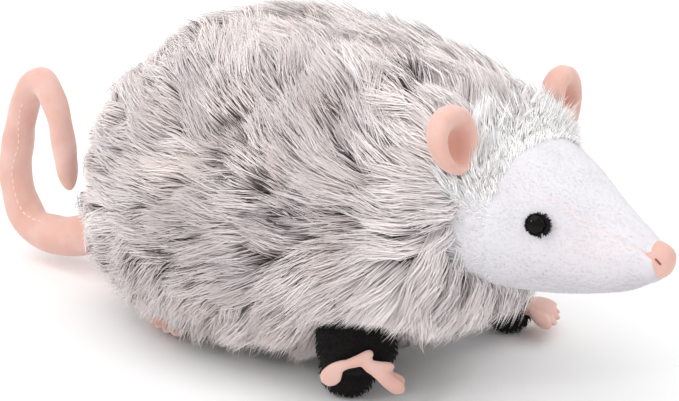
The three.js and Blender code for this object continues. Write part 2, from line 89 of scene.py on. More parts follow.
def body_point(share, angle, grow=-COAT_DEPTH):
    """Points of the trunk. A share of 0 is the rump and 1 the face; angle 0 is the back."""
    x = body_x(share, grow)
    behind = np.clip(-x / (BODY["rear"] + grow), 0, 1)
    thin = quarter_arc(behind, RUMP["power"])
    low = quarter_arc(behind, RUMP["low_power"])
    ahead = np.clip(x / BODY["front"], 0, 1)
    drawn = {key: FACE_RING[key] + (BODY[key] - FACE_RING[key]) * quarter_arc(ahead, power)
             for key, power in DRAW_IN.items()}
    half_width = np.where(x < 0, (BODY["half_width"] + grow) * thin, drawn["half_width"] + grow)
    middle = np.where(x < 0, BODY["middle"] - RUMP["drop"] * behind**2, drawn["middle"])
    up = np.where(x < 0, (BODY["top"] - BODY["middle"] + grow) * thin, drawn["top"] - middle + grow)
    down = np.where(x < 0, (BODY["middle"] - BODY["bottom"] + grow) * low, middle - drawn["bottom"] + grow)
    above = np.cos(angle) > 0
    power = np.where(above, BACK_POWER, BELLY_POWER)
    height = middle + np.where(above, up, down) * rounded(np.cos(angle), power)
    return np.stack([x, half_width * rounded(np.sin(angle), power), height], -1)


def unit(vectors):
    return vectors / np.maximum(np.linalg.norm(vectors, axis=-1, keepdims=True), 1e-9)


def slopes(surface, share, angle):
    """A surface's points, its steps forward and round, and the way out of it."""
    step = SLOPE_STEP
    forward = (surface(share + step, angle) - surface(share - step, angle)) / (2 * step)
    around = (surface(share, angle + step) - surface(share, angle - step)) / (2 * step)
    return surface(share, angle), forward, around, unit(np.cross(forward, around))


def in_metres(points):
    return (np.asarray(points, float) + ORIGIN) / MM


def stand(name, data):
    """Puts a mesh, a light or a camera in the scene as an object."""
    thing = bpy.data.objects.new(name, data)
    bpy.context.scene.collection.objects.link(thing)
    return thing


def new_piece(name, points, faces, material):
    """A smooth piece from points in millimetres and arrays of faces with three or four corners."""
    mesh = bpy.data.meshes.new(name)
    mesh.vertices.add(len(points))
    mesh.vertices.foreach_set("co", in_metres(points).astype(np.float32).ravel())
    corners = np.concatenate([some.ravel() for some in faces]).astype(np.int32)
    sizes = np.concatenate([np.full(len(some), some.shape[1]) for some in faces])
    mesh.loops.add(len(corners))
    mesh.loops.foreach_set("vertex_index", corners)
    mesh.polygons.add(len(sizes))
    mesh.polygons.foreach_set("loop_start", (np.cumsum(sizes) - sizes).astype(np.int32))
    mesh.polygons.foreach_set("use_smooth", np.ones(len(sizes), bool))
    mesh.update(calc_edges=True)
    mesh.materials.append(material)
    return stand(name, mesh)


def grid_faces(rings, around):
    """Faces of a closed skin: rings of points, then one pole before the first and one past the last."""
    ring, place = np.meshgrid(np.arange(rings - 1) * around, np.arange(around), indexing="ij")
    after = (place + 1) % around
    quads = np.stack([ring + place, ring + around + place, ring + around + after, ring + after], -1)
    first = np.arange(around)
    second = (first + 1) % around
    last = (rings - 1) * around
    start_cap = np.stack([np.full(around, last + around), first, second], -1)
    end_cap = np.stack([np.full(around, last + around + 1), last + second, last + first], -1)
    return [quads.reshape(-1, 4), np.concatenate([start_cap, end_cap])]


def skin_grid(shares, around):
    """The shares and angles of the points of a skin's rings."""
    return np.meshgrid(shares, np.arange(around) * FULL_TURN / around, indexing="ij")


def closed_skin(name, surface, shares, around, material):
    """A closed skin from a surface's rings at those shares."""
    rings = surface(*skin_grid(shares, around))
    points = np.concatenate([rings.reshape(-1, 3), [rings[0].mean(0), rings[-1].mean(0)]])
    return new_piece(name, points, grid_faces(len(shares), around), material)


def waves(points, size, seed):
    """A soft random field, mostly between -1 and 1, whose bumps are about this size across."""
    draw = np.random.default_rng(seed)
    ways = unit(draw.normal(size=(9, points.shape[-1]))) * draw.uniform(0.7, 1.5, (9, 1))
    phases = draw.uniform(0, FULL_TURN, 9)
    return np.sin(points @ ways.T * (FULL_TURN / size) + phases).sum(-1) / 3.2


def feed(material, socket, value):
    """Gives a socket another node's output, a plain colour or a number."""
    if isinstance(value, bpy.types.NodeSocket):
        material.node_tree.links.new(value, socket)
    else:
        socket.default_value = (*value, 1) if isinstance(value, tuple) else value


def feed_shader(material, name, value):
    feed(material, material.node_tree.nodes["Principled BSDF"].inputs[name], value)


def finish(name, roughness, sheen=0.0, specular=0.25):
    """A new material with its shader's plain values, ready for the nodes that colour it."""
    material = bpy.data.materials.new(name)
    material.use_nodes = True
    feed_shader(material, "Roughness", roughness)
    feed_shader(material, "Sheen Weight", sheen)
    feed_shader(material, "Specular IOR Level", specular)
    return material


def add_node(material, kind, inputs, output):
    """A new node with some inputs fed, and the output of it that is used."""
    node = material.node_tree.nodes.new(kind)
    for name, value in inputs.items():
        feed(material, node.inputs[name], value)
    return node.outputs[output]


def add_noise(material, scale, detail=2.0):
    """A noise pattern fixed to the object, in metres, so scale is ripples to the metre."""
    place = add_node(material, "ShaderNodeTexCoord", {}, "Object")
    inputs = {"Scale": scale, "Detail": detail, "Vector": place}
    return add_node(material, "ShaderNodeTexNoise", inputs, "Fac")


def add_ramp(material, factor, stops):
    """Colours along a factor: stops are (place, colour) pairs."""
    ramp = material.node_tree.nodes.new("ShaderNodeValToRGB")
    for _ in stops[2:]:
        ramp.color_ramp.elements.new(0.5)
    for element, (place, colour) in zip(ramp.color_ramp.elements, stops):
        element.position = place
        element.color = (*colour, 1)
    feed(material, ramp.inputs["Fac"], factor)
    return ramp.outputs["Color"]


def add_mix(material, factor, first, second, blend="MIX"):
    """One colour laid over another by a factor; each is an output or a plain value."""
    mix = material.node_tree.nodes.new("ShaderNodeMix")
    mix.data_type = "RGBA"
    mix.blend_type = blend
    for name, value in (("Factor", factor), ("A", first), ("B", second)):
        feed(material, next(s for s in mix.inputs if s.name == name and s.enabled), value)
    return next(s for s in mix.outputs if s.enabled)


def add_attribute(material, name):
    reader = material.node_tree.nodes.new("ShaderNodeAttribute")
    reader.attribute_name = name
    return reader.outputs["Fac"]


def add_relief(material, height, strength, depth):
    """Relief from a height pattern; its depth is in metres."""
    inputs = {"Strength": strength, "Distance": depth, "Height": height}
    feed_shader(material, "Normal", add_node(material, "ShaderNodeBump", inputs, "Normal"))


BACKING_DARK = (0.045, 0.040, 0.042)
BACKING_PALE = (0.12, 0.11, 0.112)
backing = finish("knitted_backing", 0.95)
knit = add_noise(backing, 900.0)
feed_shader(backing, "Base Color", add_ramp(backing, knit, [(0.35, BACKING_DARK), (0.65, BACKING_PALE)]))
add_relief(backing, knit, 0.4, 0.0004)

trunk = closed_skin("trunk_skin", body_point, np.linspace(0.004, 1, 60), 96, backing)
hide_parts("torso", "neck")
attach(trunk, "root")

# Long pile: frosted faux fur, dark at the roots and pale at the tips, in pointed locks that gather
# into tufts. It is combed back from the face, up towards the spine and down towards the belly, and
# is knitted into the backing.
STRAND = {"length": 28.0, "half_width": 0.22, "height": 0.10}
STRAND_RINGS = 2
VARIED = {"length": (0.75, 1.06), "rise": (0.8, 1.2), "droop": (0.10, 0.20), "half_width": (0.6, 1.3),
          "height": (0.7, 1.3), "roll": (-0.6, 0.6)}
COAT_ENDS = (0.02, 0.985)
TUFT = {"pitch": 13.0, "gather": 0.7, "rise": (-0.5, 0.3), "seed": 77}
LOCK = {"pitch": 4.6, "spread": 3.6, "gather": 0.65, "strands": 31, "sunk": 0.8, "seed": 3}
RISE = math.radians(50)
RISE_AT_TIP = math.radians(6)
SWIRL = math.radians(44)
CHEST_LIE = math.radians(26)
SKIN_SHADING = 0.86
DARK_STRANDS = (0.28, 0.72)
FLOOR_CLEARANCE = 2.5
BAKE_PATCH = 0.003
BAKE_MARGIN = 0.004


def strand_lines(root, out, along, length, rise, bend, tip_rise, follow=0.0, droop=0.0):
    """Centre lines of strands: the rings' points and the tip, with each ring's heading and side.
    follow is how much the skin turns away for each millimetre, and droop how far the tips sag."""
    spread = np.multiply.outer
    share = (np.arange(STRAND_RINGS) + 0.5) / STRAND_RINGS
    climb = spread(rise, (1 - share) ** 1.4) + tip_rise - spread(follow * length, share)
    turn = spread(bend, share)
    across = np.cross(out, along)
    level = np.cos(turn)[..., None] * along[:, None] + np.sin(turn)[..., None] * across[:, None]
    heading = np.cos(climb)[..., None] * level + np.sin(climb)[..., None] * out[:, None]
    heading[..., 2] -= spread(droop, share**2)
    heading = unit(heading)
    steps = heading * (length / STRAND_RINGS)[:, None, None]
    line = np.concatenate([root[:, None], root[:, None] + np.cumsum(steps, 1)], 1)
    return line, heading, unit(np.cross(out[:, None], heading))


def mark(piece, name, values):
    """Gives each point of a piece a number that its material reads by name."""
    attribute = piece.data.attributes.new(name, "FLOAT", "POINT")
    attribute.data.foreach_set("value", np.asarray(values, np.float32))


def strand_piece(name, strands, half_width, height, roll, root_uv, tints, material, lean=SKIN_SHADING):
    """A piece of closed three-sided strands that taper to a point, each with its own bake patch.
    Their shading leans towards the way out of the skin, because real pile is too fine to shade."""
    line, heading, side, out = strands
    count, rings = heading.shape[:2]
    taper = np.sin(math.pi * (0.22 + 0.78 * np.arange(rings) / rings)) ** 0.7
    ridge = np.cross(heading, side)
    cosine, sine = (np.reshape(wave(roll), (-1, 1, 1)) for wave in (np.cos, np.sin))
    turned = side * cosine + ridge * sine
    ridge = ridge * cosine - side * sine
    reach = turned * np.multiply.outer(half_width, taper)[..., None]
    lift = ridge * np.multiply.outer(height, taper)[..., None]
    centre = line[:, :-1]
    corners = np.stack([centre - reach, centre + reach, centre + lift], 2).reshape(count, rings * 3, 3)
    points = np.concatenate([corners, line[:, -1:]], 1)
    each = rings * 3 + 1
    start = (np.arange(count) * each)[:, None, None]
    ring, edge = np.meshgrid(np.arange(rings - 1) * 3, np.arange(3), indexing="ij")
    after = (edge + 1) % 3
    sides = np.stack([ring + edge, ring + after, ring + 3 + after, ring + 3 + edge], -1).reshape(1, -1, 4)
    last, tip = (rings - 1) * 3, rings * 3
    ends = np.array([[[0, 2, 1], [last, last + 1, tip], [last + 1, last + 2, tip], [last + 2, last, tip]]])
    faces = [(start + sides).reshape(-1, 4), (start + ends).reshape(-1, 3)]
    piece = new_piece(name, points.reshape(-1, 3), faces, material)
    leaning = unit(ridge * (1 - lean) + out[:, None] * lean)
    aside = turned * (1 - lean)
    own = np.stack([leaning - aside, leaning + aside, leaning], 2).reshape(count, rings * 3, 3)
    normals = unit(np.concatenate([own, leaning[:, -1:]], 1)).astype(np.float32).ravel()
    piece.data.attributes.new("custom_normal", "FLOAT_VECTOR", "POINT").data.foreach_set("vector", normals)
    along = np.tile(np.append(np.repeat(np.arange(rings) / rings, 3), 1.0), count)
    across = np.tile(np.append(np.tile([-0.5, 0.5, 0.0], rings), 0.0), count)
    mark(piece, "along", along)
    for tint, values in tints.items():
        mark(piece, tint, np.repeat(values, each))
    offsets = np.stack([across, along - 0.5], -1) * BAKE_PATCH
    room = 1 - 2 * BAKE_MARGIN
    spots = np.repeat(BAKE_MARGIN + room * np.clip(root_uv, 0, 1), each, 0) + offsets
    corner_points = np.empty(len(piece.data.loops), np.int32)
    piece.data.loops.foreach_get("vertex_index", corner_points)
    bake_map = spots[corner_points].astype(np.float32).ravel()
    piece.data.uv_layers.new(name="OFBake").data.foreach_set("uv", bake_map)
    return piece


def half_turns(angle):
    """The same angle, between minus and plus half a turn."""
    return (angle + math.pi) % FULL_TURN - math.pi


def scatter_rows(surface, pitch, first, last, seed):
    """Places spread evenly over a surface in rows, each nudged a little: shares and angles."""
    draw = np.random.default_rng(seed)
    shares, angles = [], []
    turn = np.linspace(0, FULL_TURN, 73)[:-1]
    flank = np.array([1.2])
    nudge = (-0.4, 0.4)
    share = first
    while share < last:
        ring = surface(np.full_like(turn, share), turn)
        girth = np.linalg.norm(np.roll(ring, -1, 0) - ring, axis=1).sum()
        count = max(3, round(girth / pitch))
        place = (np.arange(count) + draw.uniform(0, 1) + draw.uniform(*nudge, count)) / count
        step = np.linalg.norm(slopes(surface, np.array([share]), flank)[1]) / pitch
        shares.append(share + draw.uniform(*nudge, count) / step)
        angles.append(place * FULL_TURN - math.pi)
        share += 1 / step
    return np.clip(np.concatenate(shares), first, last), half_turns(np.concatenate(angles))


def brushed_back(lie, forward, around):
    """The way of pile that is brushed back and turned aside by the angle of its lie."""
    return -np.cos(lie)[:, None] * unit(forward) + np.sin(lie)[:, None] * unit(around)


def coat_heading(share, angle, forward, around, out):
    """The way that the coat lies: back from the face, up to the spine above and down below."""
    chest = smooth(0.72, 0.97, share)
    swirl = SWIRL * (0.6 + 0.4 * smooth(0.2, 0.5, share)) * (1 - 0.45 * chest)
    heading = brushed_back(-swirl * np.sin(2 * angle) + chest * CHEST_LIE * np.sin(angle), forward, around)
    down = np.array([0, 0, -1.0])
    hanging = down - out * (out @ down)[:, None]
    rump = 0.6 * (1 - smooth(0.0, 0.25, share))[:, None]
    return unit(heading * (1 - rump) + hanging * rump)


# Where the pile parts and its dark roots show, as (share, angle in degrees, reach in mm). A row of
# them runs down the right flank from behind the shoulder. The last eight are on the left side.
PARTINGS = [
    (0.535, -50, 9), (0.57, -64, 9), (0.61, -73, 9), (0.645, -80, 9), (0.685, -86, 9),
    (0.60, -52, 6), (0.61, -66, 6), (0.74, -13, 8), (0.81, -21, 8), (0.82, -60, 9), (0.78, -55, 7),
    (0.94, -118, 8), (0.945, -24, 7), (0.965, -8, 7), (0.86, -12, 7), (0.48, -98, 7), (0.39, -102, 6),
    (0.53, -100, 6), (0.45, -84, 6), (0.42, -22, 6), (0.69, -44, 6), (0.75, -82, 6), (0.87, -84, 7),
    (0.45, 55, 6), (0.52, 70, 7), (0.56, 78, 7), (0.68, 82, 6), (0.80, 40, 6), (0.33, 95, 5),
    (0.60, 112, 6), (0.88, 75, 6),
]
PARTING = {"dark": 0.45, "swing": 0.5, "clear": 0.32, "ahead": 15.0, "middle": 4.0}


def tuft_places():
    """The middles of the big tufts that the locks gather into, with each one's own nature."""
    draw = np.random.default_rng(TUFT["seed"])
    share, angle = scatter_rows(body_point, TUFT["pitch"], *COAT_ENDS, TUFT["seed"] + 1)
    count = len(share)
    nature = {"rise": np.clip(draw.normal(0, 0.25, count), *TUFT["rise"]),
              "swing": draw.normal(0, 0.22, count), "dark": draw.uniform(0, 1, count) ** 1.6,
              "tone": draw.normal(0, 0.16, count), "length": draw.normal(0, 0.07, count)}
    return body_point(share, angle), nature


def parted_at(point):
    """How far the pile parts at the chosen places, from 0 to 1, and the way from the nearest one."""
    share, degrees, reach = np.array(PARTINGS).T
    offset = point[:, None] - body_point(share, np.radians(degrees))[None]
    strength = np.exp(-(offset**2).sum(-1) / reach**2)
    nearest = strength.argmax(1)
    return strength.max(1), offset[np.arange(len(point)), nearest]


tuft_point, tuft_nature = tuft_places()

# Where the coat ends over the top of each foreleg: the leg's place in plan, its reach and height.
HEMS = [((73.0, -34.0), 27.0, 39.0), ((74.0, 60.0), 20.0, 31.0)]
EARS = [np.array(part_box(node)) * MM - ORIGIN for node in ("ear_right", "ear_left")]
EAR_CLEARANCE = 0.9


def grow_locks(name, locks, tints, seed, material, lean=SKIN_SHADING):
    """Strands in pointed locks: each lock has its root, its way out and along, its length, its rise
    and the turn of the skin under it. Strands that would run through an ear are left out."""
    draw = np.random.default_rng(seed)
    each = locks["strands"]
    count = len(locks["root"]) * each
    reach = locks["spread"] * np.sqrt(draw.uniform(0, 1, count))
    place = draw.uniform(0, FULL_TURN, count)
    back, across = reach * np.cos(place), reach * np.sin(place)

    def rep(values):
        return np.repeat(values, each, 0)

    out, along = rep(locks["out"]), rep(locks["along"])
    side = np.cross(out, along)
    root = rep(locks["root"]) + along * back[:, None] + side * across[:, None] - out * LOCK["sunk"]
    length = rep(locks["length"]) * draw.uniform(*VARIED["length"], count) - 0.6 * back
    bend = draw.normal(0, math.radians(7), count) + rep(draw.normal(0, 0.14, len(locks["root"])))
    bend = bend - LOCK["gather"] * across / length
    rise = rep(locks["rise"]) * draw.uniform(*VARIED["rise"], count)
    droop = draw.uniform(*VARIED["droop"], count)
    shaped = (rise, bend, rep(locks["tip_rise"])[:, None], rep(locks["follow"]), droop)
    tip = strand_lines(root, out, along, length, *shaped)[0][:, -1]
    for (x, y), near, hem in HEMS:
        over_leg = smooth(near + 6, near - 4, np.hypot(tip[:, 0] - x, tip[:, 1] - y)) * (tip[:, 2] < hem)
        kept = np.clip((root[:, 2] - hem) / np.maximum(root[:, 2] - tip[:, 2], 1), 0.3, 1)
        length = length * (1 + over_leg * (kept - 1))
    line, heading, side = strand_lines(root, out, along, length, *shaped)
    under = np.minimum(line[..., 2] / FLOOR_CLEARANCE - 1, 0)
    line[..., 2] = np.where(under < 0, FLOOR_CLEARANCE * np.exp(under), line[..., 2])
    clear = np.ones(count, bool)
    for low, high in EARS:
        inside = (((line - (low + high) / 2) / ((high - low) / 2 * EAR_CLEARANCE)) ** 2).sum(-1) < 1
        clear &= ~inside[:, 1:].any(1)
    root_uv = rep(locks["uv"]) + draw.uniform(-0.5, 0.5, (count, 2)) * BAKE_PATCH
    spread = {key: np.clip(rep(values) + draw.normal(0, vary, count), low, high)
              for key, (values, vary, low, high) in tints.items()}
    streaked = draw.uniform(0, 1, count) < rep(locks["dark"])
    spread["shade"] = np.where(streaked, draw.uniform(*DARK_STRANDS, count), spread["shade"])
    half_width = STRAND["half_width"] * draw.uniform(*VARIED["half_width"], count)
    height = STRAND["height"] * draw.uniform(*VARIED["height"], count)
    sizes = (half_width, height, draw.uniform(*VARIED["roll"], count), root_uv)
    strands = [part[clear] for part in (line, heading, side, out)]
    return strand_piece(name, strands, *(size[clear] for size in sizes),
                        {key: values[clear] for key, values in spread.items()}, material, lean)


# The ruff turns from grey to white between these places along the body.
WHITE_FROM = (92.0, 110.0)
# The sizes and seeds of the coat's slow changes in lie, in tone and in warmth.
SWING_WAVES = (40.0, 21)
TONE_WAVES = (37.0, 13)
CREAM_WAVES = (30.0, 17)
SHARE_STEP = 0.01


def coat_strands(name, chosen, seed, whiteness):
    """One piece of the long pile, from the locks that are chosen. A lock leans to the middle of its
    tuft and away from a parting. It is dark at its tuft's front edge; on back and rump it has fewer
    dark strands, and painted light makes it paler there."""
    draw = np.random.default_rng(seed)
    share, angle = lock_share[chosen], lock_angle[chosen]
    count = len(share)
    point, forward, around, out = slopes(body_point, share, angle)
    along = coat_heading(share, angle, forward, around, out)
    side = np.cross(out, along)
    nearest = np.argmin(((point[:, None] - tuft_point[None]) ** 2).sum(-1), 1)
    nature = {key: values[nearest] for key, values in tuft_nature.items()}
    offset = point - tuft_point[nearest]
    behind = (offset * along).sum(-1) / (TUFT["pitch"] / 2)
    beside = (offset * side).sum(-1)
    parted, apart = parted_at(point)
    swing = (math.radians(8) * waves(point, *SWING_WAVES) + nature["swing"]
             + draw.normal(0, math.radians(4), count) - TUFT["gather"] * beside / STRAND["length"]
             + PARTING["swing"] * parted * np.tanh((apart * side).sum(-1) / PARTING["middle"]))
    along = unit(along * np.cos(swing)[:, None] + side * np.sin(swing)[:, None])
    ahead = body_point(share - SHARE_STEP, angle)
    ahead_out = slopes(body_point, np.clip(share - SHARE_STEP, SHARE_STEP / 2, 1), angle)[3]
    gap = np.maximum(np.linalg.norm(ahead - point, axis=1), 1.0)
    covering = parted_at(point + along * PARTING["ahead"])[0]
    white = smooth(*WHITE_FROM, point[:, 0]) * whiteness
    edge = smooth(0.1, 0.9, -behind) * nature["dark"]
    rump = smooth(0.46, 0.22, share)
    # Back and rump: fewer dark strands, and a paler tone there that is painted light from above.
    calm_and_painted_light = np.maximum(smooth(0.6, 0.95, np.cos(angle)), rump)
    dark = (0.03 + 0.28 * edge) * (1 - 0.8 * calm_and_painted_light) + PARTING["dark"] * parted
    tone = 0.3 + 0.45 * calm_and_painted_light + 0.2 * waves(point, *TONE_WAVES) + nature["tone"] + draw.normal(0, 0.04, count)
    cream = np.clip(0.3 + 0.5 * waves(point, *CREAM_WAVES), 0, 1)
    uv = np.stack([(angle - angle.min()) / np.ptp(angle), (share - share.min()) / np.ptp(share)], -1)
    locks = {
        "root": point, "out": out, "along": along, "uv": uv,
        "strands": LOCK["strands"], "spread": LOCK["spread"],
        "length": STRAND["length"] * (1 - 0.04 * rump - PARTING["clear"] * covering + nature["length"]
                                      + draw.normal(0, 0.05, count)) - 2.5 * behind,
        "rise": RISE * (1 - 0.2 * smooth(0.6, 1.0, np.cos(angle)) - 0.18 * rump + nature["rise"]
                        - 0.12 * behind + draw.normal(0, 0.07, count)),
        "tip_rise": RISE_AT_TIP + math.radians(7) * smooth(0.75, 1.0, np.cos(angle)),
        "follow": np.clip(np.arccos(np.clip((ahead_out * out).sum(-1), -1, 1)) / gap, 0.004, 0.02),
        "dark": dark * (1 - white),
    }
    shade = 0.05 + 0.1 * parted + draw.normal(0, 0.03, count)
    tints = {"shade": (shade * (1 - white) - 0.4 * white, 0.04, -0.4, 0.9),
             "tone": (tone + 0.7 * white, 0.06, 0.0, 1.0),
             "cream": (cream * (1 - 0.7 * white), 0.1, 0.0, 1.0)}
    return grow_locks(name, locks, tints, seed + 1, frosted_pile)


ROOT_GREY = (0.095, 0.074, 0.076)
MIDDLE_GREY = (0.43, 0.38, 0.385)
PALE_GREY = (0.75, 0.685, 0.68)
TIP_WHITE = (0.965, 0.905, 0.90)
COOL_TONE = (0.69, 0.665, 0.67)
BRIGHT_TONE = (1.0, 0.985, 0.98)
CREAM = (1.0, 0.945, 0.915)
FROST_REACH = 0.36
frosted_pile = finish("frosted_pile", 0.7)
shade_start = add_attribute(frosted_pile, "shade")
shade_end = add_node(frosted_pile, "ShaderNodeMath", {0: shade_start, 1: FROST_REACH}, 0)
heights = {"Value": add_attribute(frosted_pile, "along"), "From Min": shade_start, "From Max": shade_end}
frost = add_ramp(frosted_pile, add_node(frosted_pile, "ShaderNodeMapRange", heights, "Result"),
                 [(0.0, ROOT_GREY), (0.35, MIDDLE_GREY), (0.7, PALE_GREY), (1.0, TIP_WHITE)])
# The tone is random paleness and the ruff's white, plus painted light on back and rump.
toned = add_mix(frosted_pile, add_attribute(frosted_pile, "tone"), COOL_TONE, BRIGHT_TONE)
creamed = add_mix(frosted_pile, add_attribute(frosted_pile, "cream"), (1, 1, 1), CREAM)
tinted = add_mix(frosted_pile, 1.0, toned, creamed, "MULTIPLY")
feed_shader(frosted_pile, "Base Color", add_mix(frosted_pile, 1.0, frost, tinted, "MULTIPLY"))

lock_share, lock_angle = scatter_rows(body_point, LOCK["pitch"], *COAT_ENDS, LOCK["seed"])
lock_x = body_x(lock_share, -COAT_DEPTH)
lock_degrees = np.degrees(lock_angle)
RUFF_START = 88.0
COAT_SEED = 400
RUFF_SEED = 900
SECTORS = {"spine_left": (0, 60), "side_left": (60, 120), "belly_left": (120, 181),
           "spine_right": (-60, 0), "side_right": (-120, -60), "belly_right": (-181, -120)}
for place, (start, end) in SECTORS.items():
    chosen = (lock_degrees >= start) & (lock_degrees < end) & (lock_x < RUFF_START)
    coat = coat_strands("coat_" + place, chosen, COAT_SEED + start + len(place), 0.0)
    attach(coat, "root")
for place, chosen in {"left": lock_angle >= 0, "right": lock_angle < 0}.items():
    ruff = coat_strands("ruff_" + place, chosen & (lock_x >= RUFF_START), RUFF_SEED + len(place), 1.0)
    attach(ruff, "root")

# Head: a wedge of short white plush, stuffed firm, cut from two cheeks and a gusset that runs from
# between the ears to the nose. It is sewn to the ruff round the back, and its pile is clipped.
HEAD = {"pivot": 110.0, "turn": math.radians(1), "power": 2.2, "jaw_power": 2.8}
HEAD_RINGS = {
    "u": [15.0, 31.0, 48.0, 65.0, 80.0, 89.5],
    "half_width": [41.5, 38.0, 30.0, 21.0, 13.0, 8.4],
    "top": [122.0, 120.0, 114.0, 103.0, 94.5, 88.8],
    "bottom": [60.0, 58.0, 58.5, 61.0, 64.8, 70.0],
}
CLIPPED_PILE = 1.4
MUZZLE_END = 90.0
MUZZLE_CLOSE = 0.05
GUSSET = {"back_angle": 0.62, "front_angle": 1.05, "depth": 0.9, "half_width": 1.1, "tint": 0.5}


def through(values, share):
    """A smooth line through evenly spaced values, at a share of the way from the first to the last."""
    values = np.asarray(values)
    place = np.clip(share, 0, 1) * (len(values) - 1)
    index = np.minimum(place.astype(int), len(values) - 2)
    t = place - index
    before, here = values[np.maximum(index - 1, 0)], values[index]
    there, beyond = values[index + 1], values[np.minimum(index + 2, len(values) - 1)]
    slope_here, slope_there = (there - before) / 2, (beyond - here) / 2
    return ((2 * here - 2 * there + slope_here + slope_there) * t**3
            + (3 * there - 3 * here - 2 * slope_here - slope_there) * t**2 + slope_here * t + here)


def head_turned(local):
    """From the head's own frame, with u along its length, to the toy's."""
    cosine, sine = math.cos(HEAD["turn"]), math.sin(HEAD["turn"])
    u, v = local[..., 0], local[..., 1]
    return np.stack([HEAD["pivot"] + u * cosine - v * sine, u * sine + v * cosine, local[..., 2]], -1)


def head_shape(share, angle):
    ring = {key: through(values, share) for key, values in HEAD_RINGS.items()}
    over = np.maximum(share - 1, 0)
    close = np.sqrt(np.maximum(1 - (over / MUZZLE_CLOSE) ** 2, 0))
    power = np.where(np.cos(angle) < 0, HEAD["jaw_power"], HEAD["power"])
    middle = (ring["top"] + ring["bottom"]) / 2
    half_height = (ring["top"] - ring["bottom"]) / 2
    return head_turned(np.stack([
        ring["u"] + over * MUZZLE_END,
        close * ring["half_width"] * rounded(np.sin(angle), power),
        middle + close * half_height * rounded(np.cos(angle), power)], -1))


def seam_at(share, angle, around):
    """How near a place on the head is to a seam of the gusset, from 0 to 1."""
    seam_angle = GUSSET["back_angle"] + (GUSSET["front_angle"] - GUSSET["back_angle"]) * share
    away = (np.abs(angle) - seam_angle) * np.linalg.norm(around, axis=-1)
    return np.exp(-((away / GUSSET["half_width"]) ** 2)) * smooth(0.35, 0.5, share)


def head_point(share, angle):
    """The head's skin: inside its pile, with a shallow groove along each seam of the gusset."""
    point, _, around, out = slopes(head_shape, share, angle)
    groove = GUSSET["depth"] * seam_at(share, half_turns(angle), around)
    return point - out * (CLIPPED_PILE * 0.8 + groove)[..., None]


PLUSH_WHITE = (0.74, 0.72, 0.757)
PLUSH_SHADE = (0.69, 0.67, 0.71)
PLUSH_PAINTED_JAW_SHADE = (0.80, 0.795, 0.80)
PLUSH_BLUSH = (0.86, 0.70, 0.70)
face_plush = finish("white_plush", 0.9, sheen=0.25)
soft_white = add_ramp(face_plush, add_noise(face_plush, 60.0), [(0.3, PLUSH_SHADE), (0.6, PLUSH_WHITE)])
blushed = add_mix(face_plush, add_attribute(face_plush, "blush"), soft_white, PLUSH_BLUSH)
# Painted shade: the pile greys below the jaw, by the under attribute.
under = add_mix(face_plush, add_attribute(face_plush, "under"), (1, 1, 1), PLUSH_PAINTED_JAW_SHADE)
feed_shader(face_plush, "Base Color", add_mix(face_plush, 1.0, blushed, under, "MULTIPLY"))
add_relief(face_plush, add_noise(face_plush, 1400.0, 3.0), 0.3, 0.0005)

BLUSH_PLACE = head_turned(np.array([66.0, -16.0, 84.0]))
BLUSH_REACH = np.array([18.0, 14.0, 9.0])


def face_tints(share, angle):
    """blush is the pink tinge along the gusset's seams and on the muzzle's side. under is how far
    round below the jaw a place is, where painted shade greys the pile."""
    point, _, around, _ = slopes(head_shape, share, angle)
    cheek = np.exp(-(((point - BLUSH_PLACE) / BLUSH_REACH) ** 2).sum(-1))
    seam = GUSSET["tint"] * seam_at(share, half_turns(angle), around)
    return {"blush": np.maximum(0.30 * cheek, seam), "under": smooth(0.25, -0.75, np.cos(angle))}


HEAD_AROUND = 120
muzzle_close = MUZZLE_CLOSE * np.sin(np.linspace(0.2, 1.45, 7))
head_shares = np.concatenate([np.linspace(0, 1, 70), 1 + muzzle_close])
head = closed_skin("head_skin", head_point, head_shares, HEAD_AROUND, face_plush)
for word, tint in face_tints(*skin_grid(head_shares, HEAD_AROUND)).items():
    mark(head, word, np.append(tint, [0.0, 0.0]))
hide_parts("head")
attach(head, "root")

CLIP = {"pitch": 1.3, "root": 0.4, "rise": math.radians(26), "tip_rise": math.radians(10), "follow": 0.01,
        "half_width": (0.06, 0.11), "height": (0.02, 0.03), "shading": 0.97, "seed": 31}


def clipped_pile(name):
    """The face's short pile: tiny strands that lie back, each a little its own way."""
    share, angle = scatter_rows(head_shape, CLIP["pitch"], 0.005, 1.0, CLIP["seed"])
    draw = np.random.default_rng(CLIP["seed"] + 1)
    count = len(share)
    root, forward, around, out = slopes(head_point, share, angle)
    lie = draw.normal(0, 0.35, count) + 0.5 * waves(root, 14.0, CLIP["seed"] + 2)
    length = CLIPPED_PILE * 1.5 * draw.uniform(0.75, 1.25, count)
    rise = CLIP["rise"] + draw.normal(0, 0.12, count)
    strands = strand_lines(root - out * CLIP["root"], out, unit(brushed_back(lie, forward, around)), length,
                           rise, draw.normal(0, 0.2, count), CLIP["tip_rise"], CLIP["follow"])
    half_width = draw.uniform(*CLIP["half_width"], count)
    height = draw.uniform(*CLIP["height"], count)
    uv = np.stack([angle / FULL_TURN + 0.5, share], -1)
    return strand_piece(name, (*strands, out), half_width, height, draw.uniform(-0.2, 0.2, count), uv,
                        face_tints(share, angle), face_plush, CLIP["shading"])


clip = clipped_pile("face_pile")
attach(clip, "root")

# Crown: the long white pile that is left unclipped between the ears and along the seam behind the
# cheeks. On top it stands up and is brushed to the toy's left, and below it lies back on the coat.
CROWN = {"pitch": 2.2, "spread": 2.0, "reach": 0.21, "longest": 21.0, "cheek": 9.0, "shortest": 1.2,
         "strands": 22, "brushed": 0.95, "upright": math.radians(76), "shading": 0.6, "seed": 61}
CROWN_WHITE = (1.0, 0.985, 0.98)


